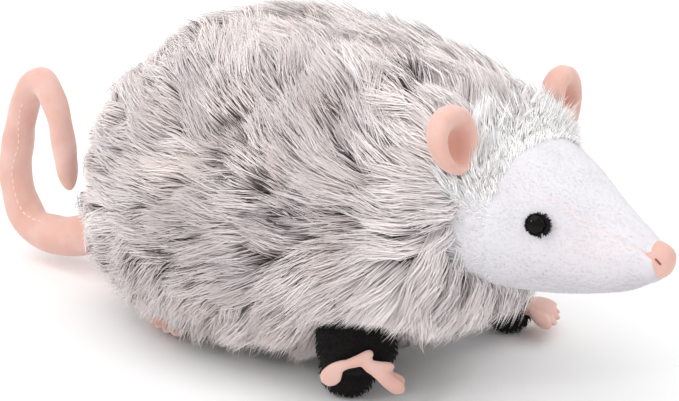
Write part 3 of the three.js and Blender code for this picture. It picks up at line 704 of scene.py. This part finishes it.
def crown_pile(name, material):
    """The crown's locks: top is 1 over the forehead and 0 at the cheeks, front is 1 at the back seam
    and 0 where the clipped pile starts, and by_ear is 1 in front of the left ear."""
    share, angle = scatter_rows(head_shape, CROWN["pitch"], 0.004, CROWN["reach"], CROWN["seed"])
    draw = np.random.default_rng(CROWN["seed"] + 1)
    count = len(share)
    top = smooth(0.0, 0.65, np.cos(angle))
    front = smooth(CROWN["reach"] * (0.45 + 0.55 * top), 0.0, share)
    by_ear = smooth(0.15, 0.5, angle) * smooth(1.25, 0.9, angle) * smooth(0.02, 0.06, share)
    root, forward, around, out = slopes(head_point, share, angle)
    lie = (CROWN["brushed"] * top * (1 + 0.5 * by_ear) + draw.normal(0, 0.33, count)
           + 0.35 * waves(root, 16.0, CROWN["seed"] + 2))
    longest = CROWN["cheek"] + (CROWN["longest"] - CROWN["cheek"]) * top
    rise = math.radians(20) + math.radians(50) * top * front**0.5
    rise = rise + (CROWN["upright"] - rise) * by_ear * smooth(0.0, 0.4, front)
    locks = {
        "root": root, "out": out, "along": unit(brushed_back(lie, forward, around)),
        "uv": np.stack([angle / FULL_TURN + 0.5, share / CROWN["reach"]], -1),
        "strands": CROWN["strands"], "spread": CROWN["spread"],
        "length": longest * (0.12 + 0.88 * front) * draw.uniform(0.8, 1.2, count) + CROWN["shortest"],
        "rise": rise + draw.normal(0, 0.18, count), "dark": np.zeros(count),
        "tip_rise": math.radians(8) + math.radians(30) * (top + by_ear), "follow": np.full(count, 0.008),
    }
    tints = {"shade": (np.zeros(count), 0.0, 0.0, 0.0), "white": (0.25 + 0.75 * top, 0.05, 0.0, 1.0)}
    return grow_locks(name, locks, tints, CROWN["seed"] + 3, material, CROWN["shading"])


crown_plush = finish("crown_plush", 0.9)
up_strand, whiter = add_attribute(crown_plush, "along"), add_attribute(crown_plush, "white")
whitened = add_ramp(crown_plush, up_strand, [(0.0, PLUSH_WHITE), (0.15, CROWN_WHITE)])
crown_tint = add_mix(crown_plush, whiter, PLUSH_WHITE, whitened)
feed_shader(crown_plush, "Base Color", crown_tint)
crown = crown_pile("crown_pile", crown_plush)
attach(crown, "root")

# Ears: soft cups of pink velour, lightly filled and pinched together at the base, where they are
# sewn into the seam between the ruff and the face. Painted shade darkens the hollow to a deeper pink.
EAR = {"u": 15.0, "side": 39.0, "height": 125.3, "half_width": 12.4, "half_depth": 8.8, "half_height": 14.6,
       "lean": math.radians(10), "turn": math.radians(8), "pinch": 0.25, "lower": 2.2, "deep_pink_and_shade": 0.7}
# From the ear's edge over the thick lip to the middle of its hollow: how far out from the middle,
# as a share of its half width, and how far to the front.
EAR_FRONT = {"reach": [1.0, 0.97, 0.88, 0.76, 0.62, 0.48, 0.30, 0.0],
             "depth": [0.0, 2.8, 4.6, 5.2, 4.2, 2.0, 0.0, -1.2]}


def ear_local(ring, angle):
    """An ear's skin. The ring runs from 0 at the middle of the back over the edge at 0.5 and the
    thick lip to the middle of the hollow at 1."""
    outside = np.clip(ring / 0.5, 0, 1) * math.pi / 2
    inward = np.clip((ring - 0.5) / 0.5, 0, 1)
    reach = np.where(ring <= 0.5, np.sin(outside), through(EAR_FRONT["reach"], inward))
    depth = np.where(ring <= 0.5, -EAR["half_depth"] * np.cos(outside), through(EAR_FRONT["depth"], inward))
    down = 0.5 - 0.5 * np.cos(angle)
    hollow = smooth(0.2, 0.8, inward)
    narrow = (1 - EAR["pinch"] * down * reach) * (1 - 0.35 * hollow * down)
    return np.stack([depth + 2.0 * down * reach, EAR["half_width"] * reach * np.sin(angle) * narrow,
                     EAR["half_height"] * reach * np.cos(angle) - EAR["lower"] * hollow], -1)


def ear_placed(local, side):
    lean, turn = -side * EAR["lean"], side * EAR["turn"]
    x, y, z = local[..., 0], local[..., 1], local[..., 2]
    y, z = y * math.cos(lean) - z * math.sin(lean), y * math.sin(lean) + z * math.cos(lean)
    x, y = x * math.cos(turn) - y * math.sin(turn), x * math.sin(turn) + y * math.cos(turn)
    return head_turned(np.stack([EAR["u"] + x, side * EAR["side"] + y, EAR["height"] + z], -1))


PINK = (0.69, 0.40, 0.33)
PINK_PALE = (0.745, 0.485, 0.425)
PINK_DEEP_AND_SHADE = (0.65, 0.315, 0.24)
pink_velour = finish("pink_velour", 0.88, sheen=0.35)
brushed = add_ramp(pink_velour, add_noise(pink_velour, 70.0, 3.0), [(0.35, PINK), (0.65, PINK_PALE)])
# A deeper pink mixed in by attribute: painted shade in the ears' hollows, and the nose's own deeper pink all
# over.
deepened_and_shaded = add_mix(pink_velour, add_attribute(pink_velour, "deep_pink_and_shade"), brushed, PINK_DEEP_AND_SHADE)
feed_shader(pink_velour, "Base Color", deepened_and_shaded)
add_relief(pink_velour, add_noise(pink_velour, 2600.0, 3.0), 0.35, 0.0003)

SIDES = ((-1, "right"), (1, "left"))
EAR_AROUND = 72
ear_rings = np.concatenate([np.linspace(0.03, 0.5, 22), np.linspace(0.515, 0.985, 34)])
# How much painted shade darkens each ring of the ear, most deep in the hollow.
ear_painted_hollow_shade = np.append(np.repeat(smooth(0.72, 0.95, ear_rings), EAR_AROUND), [0.0, 1.0]) * EAR["deep_pink_and_shade"]
for side, word in SIDES:
    def ear_skin(ring, angle):
        return ear_placed(ear_local(ring, angle), side)

    ear = closed_skin("ear_skin_" + word, ear_skin, ear_rings, EAR_AROUND, pink_velour)
    mark(ear, "deep_pink_and_shade", ear_painted_hollow_shade)
    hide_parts("ear_" + word)
    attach(ear, "root")

# Eyes: glossy black plastic domes, pressed through the plush and held by a washer behind. A ring of
# short black plush under each shows as a fringe over its front and top.
EYE = {"share": 0.42, "angle": 1.3, "radius": 4.4, "bulge": 2.8, "sink": 1.4}
LASHES = {"count": 170, "length": 1.4, "longer": 2.1, "ring": 0.9, "half_width": 0.34, "height": 0.26,
          "trimmed": {"right": 0.0, "left": 0.93}, "seed": 70}
EYE_BLACK = (0.002, 0.0018, 0.0015)
EYE_BROWN = (0.006, 0.005, 0.004)
eye_black = finish("glossy_plastic", 0.08, specular=0.14)
eye_cloud = add_ramp(eye_black, add_noise(eye_black, 220.0), [(0.4, EYE_BLACK), (0.8, EYE_BROWN)])
feed_shader(eye_black, "Base Color", eye_cloud)

BLACK = (0.004, 0.003, 0.003)
BLACK_BROWN = (0.011, 0.008, 0.008)
black_plush = finish("black_plush", 0.9, sheen=0.03)
black_nap = add_noise(black_plush, 1100.0, 3.0)
feed_shader(black_plush, "Base Color", add_ramp(black_plush, black_nap, [(0.4, BLACK), (0.65, BLACK_BROWN)]))
add_relief(black_plush, black_nap, 0.5, 0.0006)


def on_skin(share, angle):
    """A point on the head's skin, the way out of it, and two directions across it."""
    point, forward, around, out = slopes(head_shape, np.array([share]), np.array([angle]))
    along = unit(forward)
    return point[0], out[0], along[0], np.cross(out, along)[0]


def eye_fringe(name, side, centre, out, ahead, over, trimmed):
    """Lashes of black pile round an eye, longest in front; trimmed is how much the upper ones lose."""
    draw = np.random.default_rng(LASHES["seed"] + side)
    count = LASHES["count"]
    turn = side * np.where(draw.uniform(0, 1, count) < 0.5, draw.normal(0.2, 0.5, count),
                           draw.uniform(-math.pi, math.pi, count))
    radial = ahead * np.cos(turn)[:, None] - over * np.sin(turn)[:, None]
    root = centre + out * EYE["sink"] * 0.6 + radial * EYE["radius"] * LASHES["ring"]
    way = unit(radial + draw.normal(0, 0.55, (count, 3)))
    along = unit(way - out * (way @ out)[:, None])
    length = LASHES["length"] + LASHES["longer"] * smooth(-0.2, 1.0, np.cos(turn - side * 0.2))
    length = length * (1 - trimmed * smooth(-0.5, 0.0, radial[:, 2])) * draw.uniform(0.6, 1.1, count)
    outs = np.tile(out, (count, 1))
    lines = strand_lines(root, outs, along, length, 0.7, draw.normal(0, 0.3, count), 0.35)
    return strand_piece(name, (*lines, outs), LASHES["half_width"], LASHES["height"], 0.0,
                        draw.uniform(0, 1, (count, 2)), {}, black_plush)


for side, word in SIDES:
    centre, out, ahead, over = on_skin(EYE["share"], side * EYE["angle"])
    centre = centre - out * EYE["sink"]

    def dome(ring, angle):
        reach = EYE["radius"] * np.sin(math.pi * ring)
        rise = EYE["bulge"] * np.cos(math.pi * ring)
        return (centre - out * rise[..., None] + ahead * (reach * np.cos(angle))[..., None]
                - over * (reach * np.sin(angle))[..., None])

    eye = closed_skin("eye_dome_" + word, dome, np.linspace(0.03, 0.97, 24), 48, eye_black)
    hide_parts("eye_" + word)
    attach(eye, "root")
    lashes = eye_fringe("eye_fringe_" + word, side, centre, out, ahead, over, LASHES["trimmed"][word])
    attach(lashes, "root")

# Nose: a rounded wedge of pink velour sewn over the end of the muzzle, with a short dark stitch
# in each side for a nostril.
NOSE = {"back": 87.5, "tip": 97.0, "half_width": 6.8, "top": 89.0, "bottom": 73.0, "tip_height": 81.5,
        "deep_pink_and_shade": 0.22}
# Each nostril's stitch: places on the nose's skin, as a ring and an angle in degrees.
NOSTRIL = {"radius": 0.45, "places": [(0.30, 74), (0.40, 84), (0.50, 96)]}
DARK_PINK = (0.28, 0.09, 0.075)


def smooth_line(points, steps):
    """Points along a smooth line through a few chosen ones, evenly spaced by length."""
    points = np.asarray(points, float)
    fine = np.stack([through(points[:, axis], np.linspace(0, 1, 400)) for axis in range(3)], -1)
    walked = np.concatenate([[0], np.cumsum(np.linalg.norm(np.diff(fine, axis=0), axis=1))])
    return np.stack([np.interp(np.linspace(0, walked[-1], steps), walked, fine[:, a]) for a in range(3)], -1)


def even(radius):
    """The same radius all along a tube and round it."""
    return lambda share, angle: np.full(np.shape(share), radius)


def tube_point_maker(line, radius_at, closes=(0.0, 0.0), facing=None):
    """A function for the skin of a tube along a line. Each end closes roundly over its share.
    Angle 0 faces the way that is given, as near as the line lets it."""
    ways = unit(np.gradient(line, axis=0))
    up = np.zeros_like(ways)
    up[0] = unit(np.cross(ways[0], [0.3, 1.0, 0.1])) if facing is None else facing
    up[0] = unit(up[0] - ways[0] * (up[0] @ ways[0]))
    for step in range(1, len(ways)):
        up[step] = unit(up[step - 1] - ways[step] * (up[step - 1] @ ways[step]))
    shares = np.linspace(0, 1, len(line))

    def at(share, table):
        share = np.clip(share, 0, 1)
        return np.stack([np.interp(share, shares, table[:, axis]) for axis in range(3)], -1)

    def point(share, angle):
        start = (closes[0] - share) / closes[0] if closes[0] else 0.0
        end = (share - 1 + closes[1]) / closes[1] if closes[1] else 0.0
        round_off = quarter_arc(np.maximum(start, end), 2)
        way, first = unit(at(share, ways)), unit(at(share, up))
        aside = np.cos(angle)[..., None] * first + np.sin(angle)[..., None] * np.cross(first, way)
        return at(share, line) + (radius_at(share, angle) * round_off)[..., None] * aside

    return point


def nose_point(ring, angle):
    turn = math.pi / 2 * np.clip(ring, 0, 1)
    half_height = (NOSE["top"] - NOSE["bottom"]) / 2
    middle = NOSE["tip_height"] + (NOSE["bottom"] + half_height - NOSE["tip_height"]) * np.cos(turn)
    narrow = np.cos(turn) ** 0.8
    return head_turned(np.stack([
        NOSE["back"] + (NOSE["tip"] - NOSE["back"]) * np.sin(turn),
        NOSE["half_width"] * narrow * np.sin(angle),
        middle + half_height * narrow * np.cos(angle) * (1 - 0.12 * np.cos(angle))], -1))


dark_thread = finish("dark_thread", 0.8)
feed_shader(dark_thread, "Base Color", DARK_PINK)
nose = closed_skin("nose_skin", nose_point, np.linspace(0, 0.985, 26), 56, pink_velour)
# The nose takes a little of the deeper pink all over, as its own colour.
mark(nose, "deep_pink_and_shade", np.full(len(nose.data.vertices), NOSE["deep_pink_and_shade"]))
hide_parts("nose")
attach(nose, "root")
for side, word in SIDES:
    ring, degrees = np.array(NOSTRIL["places"]).T
    stitch_line = smooth_line(nose_point(ring, side * np.radians(degrees)), 30)
    stitch_point = tube_point_maker(stitch_line, even(NOSTRIL["radius"]), (0.2, 0.2))
    stitch = closed_skin("nostril_" + word, stitch_point, np.linspace(0.01, 0.99, 24), 10, dark_thread)
    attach(stitch, "root")

# Legs: short tubes of black plush with a rounded sole, stuffed soft and sewn under the trunk. The
# coat hangs over their tops.
# A sole's flat has no pile below the height "bare", and no strand lies lower than "floor".
LEG_PILE = {"pitch": 1.5, "depth": 2.2, "length": 2.75, "half_width": 0.42, "rise": math.radians(48),
            "tip_rise": math.radians(14), "heading": (0.1, 0.0, -1.0), "bare": 1.5, "floor": 0.5, "seed": 50}
PILE_INSET = LEG_PILE["depth"] * 0.6
SOLE_DIP = 1.4
LEG_FLOOR = 0.2
LEGS = {
    "foreleg_right": {"line": [(64, -27, 54), (72, -33, 33), (73, -34, 12)], "radius": 18.0,
                      "sole": (70, -36, 11), "sole_size": (13, 12.5)},
    "foreleg_left": {"line": [(62, 36, 42), (72, 52, 25), (78, 66, 12)], "radius": 12.5,
                     "sole": (78, 70, 10), "sole_size": (11.5, 11.5)},
}
for side, word in SIDES:
    LEGS["hindleg_" + word] = {
        "line": [(-34, side * 20, 48), (-36, side * 23, 28), (-36, side * 24, 14)], "radius": 15.0,
        "sole": (-36, side * 25, 9.6), "sole_size": (15, 14)}


def plain(body, name, material):
    """The finished mesh of a piece, with its modifiers applied, as a new piece."""
    mesh = bpy.data.meshes.new_from_object(body.evaluated_get(bpy.context.evaluated_depsgraph_get()))
    mesh.name = name
    mesh.materials.clear()
    mesh.materials.append(material)
    piece = stand(name, mesh)
    bpy.data.objects.remove(body)
    return piece


def fused(name, parts, voxel, smoothing, material, floor_level):
    """Pieces grown together into one soft closed skin that stays clear of the floor."""
    bpy.context.view_layer.update()
    with bpy.context.temp_override(active_object=parts[0], selected_editable_objects=parts):
        bpy.ops.object.join()
    body = parts[0]
    remesh = body.modifiers.new("skin", "REMESH")
    remesh.mode = "VOXEL"
    remesh.voxel_size = voxel / MM
    remesh.use_smooth_shade = True
    relax = body.modifiers.new("relax", "SMOOTH")
    relax.factor = 0.5
    relax.iterations = smoothing
    skin = plain(body, name, material)
    for vertex in skin.data.vertices:
        vertex.co.z = max(vertex.co.z, floor_level / MM)
    return skin


def ball_skin(name, centre, sizes, turned, rings, around, material):
    """A ball stretched to three half sizes and turned by a matrix."""
    def point(ring, angle):
        polar = math.pi * ring
        local = np.stack([np.sin(polar) * np.cos(angle), -np.sin(polar) * np.sin(angle), -np.cos(polar)], -1)
        return local * np.array(sizes) @ turned.T + np.array(centre)

    return closed_skin(name, point, np.linspace(0.02, 0.98, rings), around, material)


def mesh_arrays(piece):
    """A piece's points in millimetres, its triangles and its points' normals."""
    mesh = piece.data
    mesh.calc_loop_triangles()
    points, normals = np.empty(len(mesh.vertices) * 3), np.empty(len(mesh.vertices) * 3)
    mesh.vertices.foreach_get("co", points)
    mesh.vertices.foreach_get("normal", normals)
    triangles = np.empty(len(mesh.loop_triangles) * 3, np.int32)
    mesh.loop_triangles.foreach_get("vertices", triangles)
    return points.reshape(-1, 3) * MM - ORIGIN, triangles.reshape(-1, 3), normals.reshape(-1, 3)


def leg_pile(name, skin, seed):
    """Short pile on a leg's skin: a piece of small strands combed down, but for the sole's flat."""
    draw = np.random.default_rng(seed)
    points, triangles, normals = mesh_arrays(skin)
    corner = points[triangles]
    area = np.linalg.norm(np.cross(corner[:, 1] - corner[:, 0], corner[:, 2] - corner[:, 0]), axis=1) / 2
    count = int(area.sum() / LEG_PILE["pitch"] ** 2)
    walked = (np.arange(count) + draw.uniform(0, 1, count)) / count * area.sum()
    chosen = np.minimum(np.searchsorted(np.cumsum(area), walked), len(area) - 1)
    weights = draw.dirichlet([1, 1, 1], count)
    root = (corner[chosen] * weights[..., None]).sum(1)
    out = unit((normals[triangles[chosen]] * weights[..., None]).sum(1))
    kept = root[:, 2] > LEG_PILE["bare"]
    root, out = root[kept], out[kept]
    count = len(root)
    lie = np.array(LEG_PILE["heading"]) + draw.normal(0, 0.3, (count, 3))
    along = unit(lie - out * (lie * out).sum(-1, keepdims=True))
    uneven = (0.7, 1.3)
    length = LEG_PILE["length"] * draw.uniform(*uneven, count)
    rise = draw.normal(LEG_PILE["rise"], 0.2, count)
    bend = draw.normal(0, 0.25, count)
    line, ways, side = strand_lines(root - out * 0.3, out, along, length, rise, bend, LEG_PILE["tip_rise"])
    line[..., 2] = np.maximum(line[..., 2], LEG_PILE["floor"])
    low, high = root.min(0), root.max(0)
    middle = (low + high) / 2
    turn = np.arctan2(root[:, 1] - middle[1], root[:, 0] - middle[0]) / FULL_TURN + 0.5
    root_uv = np.stack([turn, (root[:, 2] - low[2]) / (high[2] - low[2])], -1)
    half_width = LEG_PILE["half_width"] * draw.uniform(*uneven, count)
    height = 0.7 * LEG_PILE["half_width"] * draw.uniform(*uneven, count)
    roll = draw.uniform(-0.5, 0.5, count)
    return strand_piece(name, (line, ways, side, out), half_width, height, roll, root_uv, {}, black_plush)


for number, (name, leg) in enumerate(LEGS.items(), 1):
    leg_line = smooth_line(leg["line"], 40)
    tube_point = tube_point_maker(leg_line, even(leg["radius"] - PILE_INSET), (0.2, 0.2))
    tube = closed_skin(name + "_tube", tube_point, np.linspace(0.004, 0.996, 40), 48, black_plush)
    (length, width), (x, y, z) = leg["sole_size"], leg["sole"]
    sizes = (length - PILE_INSET, width - PILE_INSET, z + SOLE_DIP - PILE_INSET)
    sole = ball_skin(name + "_sole", (x, y, z), sizes, np.eye(3), 30, 48, black_plush)
    skin = fused(name + "_skin", [tube, sole], 1.3, 6, black_plush, LEG_FLOOR)
    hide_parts(name)
    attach(skin, "root")
    pile = leg_pile(name + "_pile", skin, LEG_PILE["seed"] + number)
    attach(pile, "root")

# Hands and feet: pink velour, two layers sewn round the edge with five flat digits in a fan, and
# barely filled. They are caught in the seam between the leg and its sole.
DIGIT = {"half_width": 4.2, "half_thickness": 2.1, "root_share": 0.3}
# A digit's heading and droop in degrees: the outer two, and the others, of which the middle one
# points straight on.
HAND = {"size": (9, 10, 3.2), "length": 17, "outer": (50, 22), "inner": (24, 26)}
FOOT = {"size": (6, 11, 2.6), "length": 13, "outer": (48, 20), "inner": (24, 22)}
PAWS = {"hand_left": (HAND, (89, 77, 12), 30), "foot_right": (FOOT, (-37, -34, 8.5), -108),
        "foot_left": (FOOT, (-37, 34, 8.5), 108)}
# The near hand lies wrapped round the front of its leg. Each digit is a line of places: along the
# leg's front, up, and out from the leg's middle line, with the half width there.
WRAPPED_HAND = {
    "middle": (73.0, -34.0, 0.0), "heading": -50, "half_thickness": 1.6,
    "digits": [
        [(5, 22.4, 19, 1.9), (-2, 22.0, 19.8, 2.0), (-7.5, 20.2, 19.5, 2.6), (-10.8, 16, 19, 4.6),
         (-12.8, 11.2, 18, 4.2)],
        [(-5, 21.2, 19.4, 1.9), (0.5, 23.8, 20.2, 2.2), (7, 27.0, 19.6, 2.2)],
        [(1, 22.6, 19.5, 1.9), (8.1, 21.2, 20.4, 2.2), (16, 19.6, 18, 2.2)],
        [(2, 21.8, 19, 2.0), (8.9, 18.0, 20.6, 2.6), (14.9, 13.0, 20.4, 3.5), (20.0, 8.8, 19.5, 3.4)],
        [(8, 19.0, 18.6, 1.9), (14.9, 15.5, 17.6, 2.1), (20.4, 11.6, 15.5, 2.0)],
    ],
}
PAW_FLOOR = 0.6


def turned_by(heading, droop=0.0):
    """A matrix that dips a shape's tip by droop and then turns it to a heading, in degrees."""
    h, d = math.radians(heading), math.radians(droop)
    turn = np.array([[math.cos(h), -math.sin(h), 0], [math.sin(h), math.cos(h), 0], [0, 0, 1]])
    dip = np.array([[math.cos(d), 0, math.sin(d)], [0, 1, 0], [-math.sin(d), 0, math.cos(d)]])
    return turn @ dip


def finish_paw(name, parts):
    """Fuses a paw's parts into one padded skin."""
    skin = fused(name + "_skin", parts, 0.7, 3, pink_velour, PAW_FLOOR)
    skin.data.attributes.new("deep_pink_and_shade", "FLOAT", "POINT")
    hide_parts(name)
    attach(skin, "root")


for name, (paw, palm, paw_heading) in PAWS.items():
    facing = turned_by(paw_heading)
    parts = [ball_skin(name + "_palm", palm, paw["size"], facing, 24, 40, pink_velour)]
    for place in (-1, -0.5, 0, 0.5, 1):
        heading, droop = paw["outer" if abs(place) == 1 else "inner"]
        pointing = facing @ turned_by(heading * np.sign(place), droop)
        spread = (paw["size"][1] - DIGIT["half_width"] / 2) * place
        forward = paw["length"] * (0.5 - DIGIT["root_share"])
        centre = np.array(palm) + facing @ np.array([0, spread, 0]) + pointing @ np.array([forward, 0, 0])
        sizes = (paw["length"] / 2, DIGIT["half_width"], DIGIT["half_thickness"])
        parts.append(ball_skin(f"{name}_digit_{len(parts)}", centre, sizes, pointing, 20, 28, pink_velour))
    finish_paw(name, parts)

leg_front = turned_by(WRAPPED_HAND["heading"]) @ np.array([1.0, 0, 0])
leg_aside = np.cross([0, 0, 1.0], leg_front)
hand_parts = []
for digit in WRAPPED_HAND["digits"]:
    spots = np.array(digit)
    line = np.array(WRAPPED_HAND["middle"]) + spots[:, :1] * leg_aside + spots[:, 2:3] * leg_front
    line[:, 2] = spots[:, 1]

    def petal(share, angle, widths=spots[:, 3]):
        flat = WRAPPED_HAND["half_thickness"]
        return 1 / np.sqrt((np.cos(angle) / flat) ** 2 + (np.sin(angle) / through(widths, share)) ** 2)

    petal_point = tube_point_maker(smooth_line(line, 60), petal, (0.18, 0.2), leg_front)
    digit_name = f"hand_right_digit_{len(hand_parts)}"
    hand_parts.append(closed_skin(digit_name, petal_point, np.linspace(0.004, 0.996, 60), 36, pink_velour))
finish_paw("hand_right", hand_parts)

# Tail: a tapering tube of pink velour, stuffed and curled up into a hook by the seam that draws its
# inner side shorter. The seam is closed by hand with pale thread.
TAIL_LINE = [
    (-88, 0, 30), (-118, 0, 22.5), (-144, 0, 15.5), (-166, 0, 18), (-177, 1, 38), (-174.5, 2, 62),
    (-165.5, 1, 84), (-152, -2, 93.5), (-139.5, -5, 83), (-133, -7, 66), (-129, -8, 44),
]
TAIL = {"root": 11.4, "bend": 8.4, "tip": 5.2, "bend_at": 0.45, "lump": 0.35}


def tail_radius(share, angle):
    swell = np.interp(share, [0, TAIL["bend_at"], 1], [TAIL["root"], TAIL["bend"], TAIL["tip"]])
    return swell + TAIL["lump"] * np.sin(share * 61) * np.sin(2 * angle + share * 17)


tail_line = smooth_line(TAIL_LINE, 240)
tail_point = tube_point_maker(tail_line, tail_radius, (0.0, 0.06))
tail = closed_skin("tail_skin", tail_point, np.linspace(0.0, 0.999, 260), 48, pink_velour)
tail.data.attributes.new("deep_pink_and_shade", "FLOAT", "POINT")
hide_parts("tail_1", "tail_2", "tail_3", "tail_4")
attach(tail, "root")

STITCH = {"Pitch": 3.4, "Length": 1.15, "Thickness": 0.34, "Seed": 5}
SEAM = {"from": 0.30, "to": 0.66, "steps": 160, "near_side": 0.75, "lift": 0.05}
THREAD_PINK = (0.86, 0.66, 0.60)


def stitch_tree(material):
    """A node tree that lays stitches along a line of edges, each a little uneven."""
    tree = bpy.data.node_groups.new("stitches", "GeometryNodeTree")
    for name, kind in (("Geometry", "Geometry"), ("Pitch", "Float"), ("Length", "Float"),
                       ("Thickness", "Float"), ("Seed", "Int")):
        tree.interface.new_socket(name, in_out="INPUT", socket_type="NodeSocket" + kind)
    tree.interface.new_socket("Geometry", in_out="OUTPUT", socket_type="NodeSocketGeometry")
    node = {name: tree.nodes.new(kind) for name, kind in {
        "given": "NodeGroupInput", "put_out": "NodeGroupOutput", "curve": "GeometryNodeMeshToCurve",
        "spaced": "GeometryNodeResampleCurve", "ball": "GeometryNodeMeshUVSphere",
        "shape": "ShaderNodeCombineXYZ", "size": "FunctionNodeRandomValue",
        "tangent": "GeometryNodeInputTangent", "turn": "FunctionNodeAlignRotationToVector",
        "scaled": "ShaderNodeVectorMath", "laid": "GeometryNodeInstanceOnPoints",
        "real": "GeometryNodeRealizeInstances", "coloured": "GeometryNodeSetMaterial"}.items()}
    node["spaced"].mode = "LENGTH"
    node["scaled"].operation = "SCALE"
    for name, socket, value in (("ball", "Segments", 8), ("ball", "Rings", 6), ("ball", "Radius", 1.0),
                                ("size", 2, 0.85), ("size", 3, 1.15), ("coloured", "Material", material)):
        node[name].inputs[socket].default_value = value
    for start, output, end, socket in (
            ("given", "Geometry", "curve", 0), ("curve", 0, "spaced", "Curve"),
            ("given", "Pitch", "spaced", "Length"), ("given", "Thickness", "shape", "X"),
            ("given", "Thickness", "shape", "Y"), ("given", "Length", "shape", "Z"),
            ("given", "Seed", "size", "Seed"), ("shape", 0, "scaled", 0), ("size", 1, "scaled", "Scale"),
            ("tangent", 0, "turn", "Vector"), ("spaced", 0, "laid", "Points"),
            ("ball", "Mesh", "laid", "Instance"), ("turn", 0, "laid", "Rotation"),
            ("scaled", 0, "laid", "Scale"), ("laid", 0, "real", 0), ("real", 0, "coloured", "Geometry"),
            ("coloured", 0, "put_out", 0)):
        tree.links.new(node[start].outputs[output], node[end].inputs[socket])
    return tree


seam_thread = finish("pale_thread", 0.8)
feed_shader(seam_thread, "Base Color", THREAD_PINK)
seam_shares = np.linspace(SEAM["from"], SEAM["to"], SEAM["steps"])
seam_turns = np.linspace(0, FULL_TURN, 361)[:-1]
seam_rings = tail_point(*np.meshgrid(seam_shares, seam_turns, indexing="ij"))
seam_centres = seam_rings.mean(1)
curl_centre = tail_line[int(0.3 * len(tail_line)):int(0.8 * len(tail_line))].mean(0)
inwards = unit(unit(curl_centre - seam_centres) + SEAM["near_side"] * np.array([0, -1.0, 0]))
outs = unit(seam_rings - seam_centres[:, None])
best = (outs * inwards[:, None]).sum(-1).argmax(1)
picked = np.arange(len(best))
seam_line = seam_rings[picked, best] + outs[picked, best] * SEAM["lift"]
seam_mesh = bpy.data.meshes.new("tail_seam")
seam_mesh.from_pydata(in_metres(seam_line).tolist(), [(i, i + 1) for i in range(len(seam_line) - 1)], [])
seam = stand("tail_seam", seam_mesh)
sewing = seam.modifiers.new("stitches", "NODES")
sewing.node_group = stitch_tree(seam_thread)
for socket in sewing.node_group.interface.items_tree:
    if socket.in_out == "INPUT" and socket.name in STITCH:
        value = STITCH[socket.name]
        sewing[socket.identifier] = value if socket.name == "Seed" else value / MM
thread = plain(seam, "tail_stitches", seam_thread)
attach(thread, "root")

# Studio: a wide pale floor in a bright white room, a large soft light above the toy's flank, weaker
# ones before its nose, behind its rump and behind its back, and a small one for the glint in its
# eye. The camera stands where the photograph's did.
TARGET = in_metres([8.5, 31.6, 57.8])
CAMERA = {"azimuth": math.radians(40), "elevation": math.radians(18), "distance": 1.1, "lens": 126.8}


def away_from(azimuth, elevation):
    return Vector((math.sin(azimuth) * math.cos(elevation), -math.cos(azimuth) * math.cos(elevation),
                   math.sin(elevation)))


lens = bpy.data.cameras.new("camera")
lens.lens = CAMERA["lens"]
lens.sensor_width = 36.0
camera = stand("camera", lens)
camera.location = Vector(TARGET) + away_from(CAMERA["azimuth"], CAMERA["elevation"]) * CAMERA["distance"]
camera.rotation_euler = (Vector(TARGET) - camera.location).to_track_quat("-Z", "Y").to_euler()
bpy.context.scene.camera = camera

FLOOR_REACH = 6.0
FLOOR_GREY = (0.93, 0.93, 0.93)
FLOOR_WHITE = (0.96, 0.96, 0.96)
pale_floor = finish("pale_floor", 0.9)
floor_tone = add_ramp(pale_floor, add_noise(pale_floor, 6.0), [(0.0, FLOOR_GREY), (1.0, FLOOR_WHITE)])
feed_shader(pale_floor, "Base Color", floor_tone)
floor_mesh = bpy.data.meshes.new("floor")
floor_corners = [(x * FLOOR_REACH, y * FLOOR_REACH, 0) for x, y in ((-1, -1), (1, -1), (1, 1), (-1, 1))]
floor_mesh.from_pydata(floor_corners, [], [(0, 1, 2, 3)])
floor_mesh.materials.append(pale_floor)
floor = stand("floor", floor_mesh)

# Each light's azimuth and elevation in degrees, its distance and size in metres, and its watts.
LIGHTS = {
    "key": (0, 62, 1.3, 1.3, 7.0),
    "nose": (95, 38, 1.4, 1.0, 2.6),
    "rump": (-65, 40, 1.4, 1.0, 2.8),
    "back": (172, 40, 1.4, 1.0, 3.8),
    "glint": (-6, 28, 1.2, 0.15, 1.8),
}
for name, (azimuth, elevation, distance, size, watts) in LIGHTS.items():
    light = bpy.data.lights.new(name, "AREA")
    light.energy = watts
    light.size = size
    holder = stand(name, light)
    way = away_from(math.radians(azimuth), math.radians(elevation))
    holder.location = Vector(TARGET) + way * distance
    holder.rotation_euler = (-way).to_track_quat("-Z", "Y").to_euler()
room = bpy.data.worlds.new("room")
room.use_nodes = True
room.node_tree.nodes["Background"].inputs["Color"].default_value = (1, 1, 1, 1)
room.node_tree.nodes["Background"].inputs["Strength"].default_value = 0.75
bpy.context.scene.world = room
bpy.context.scene.view_settings.view_transform = "Standard"
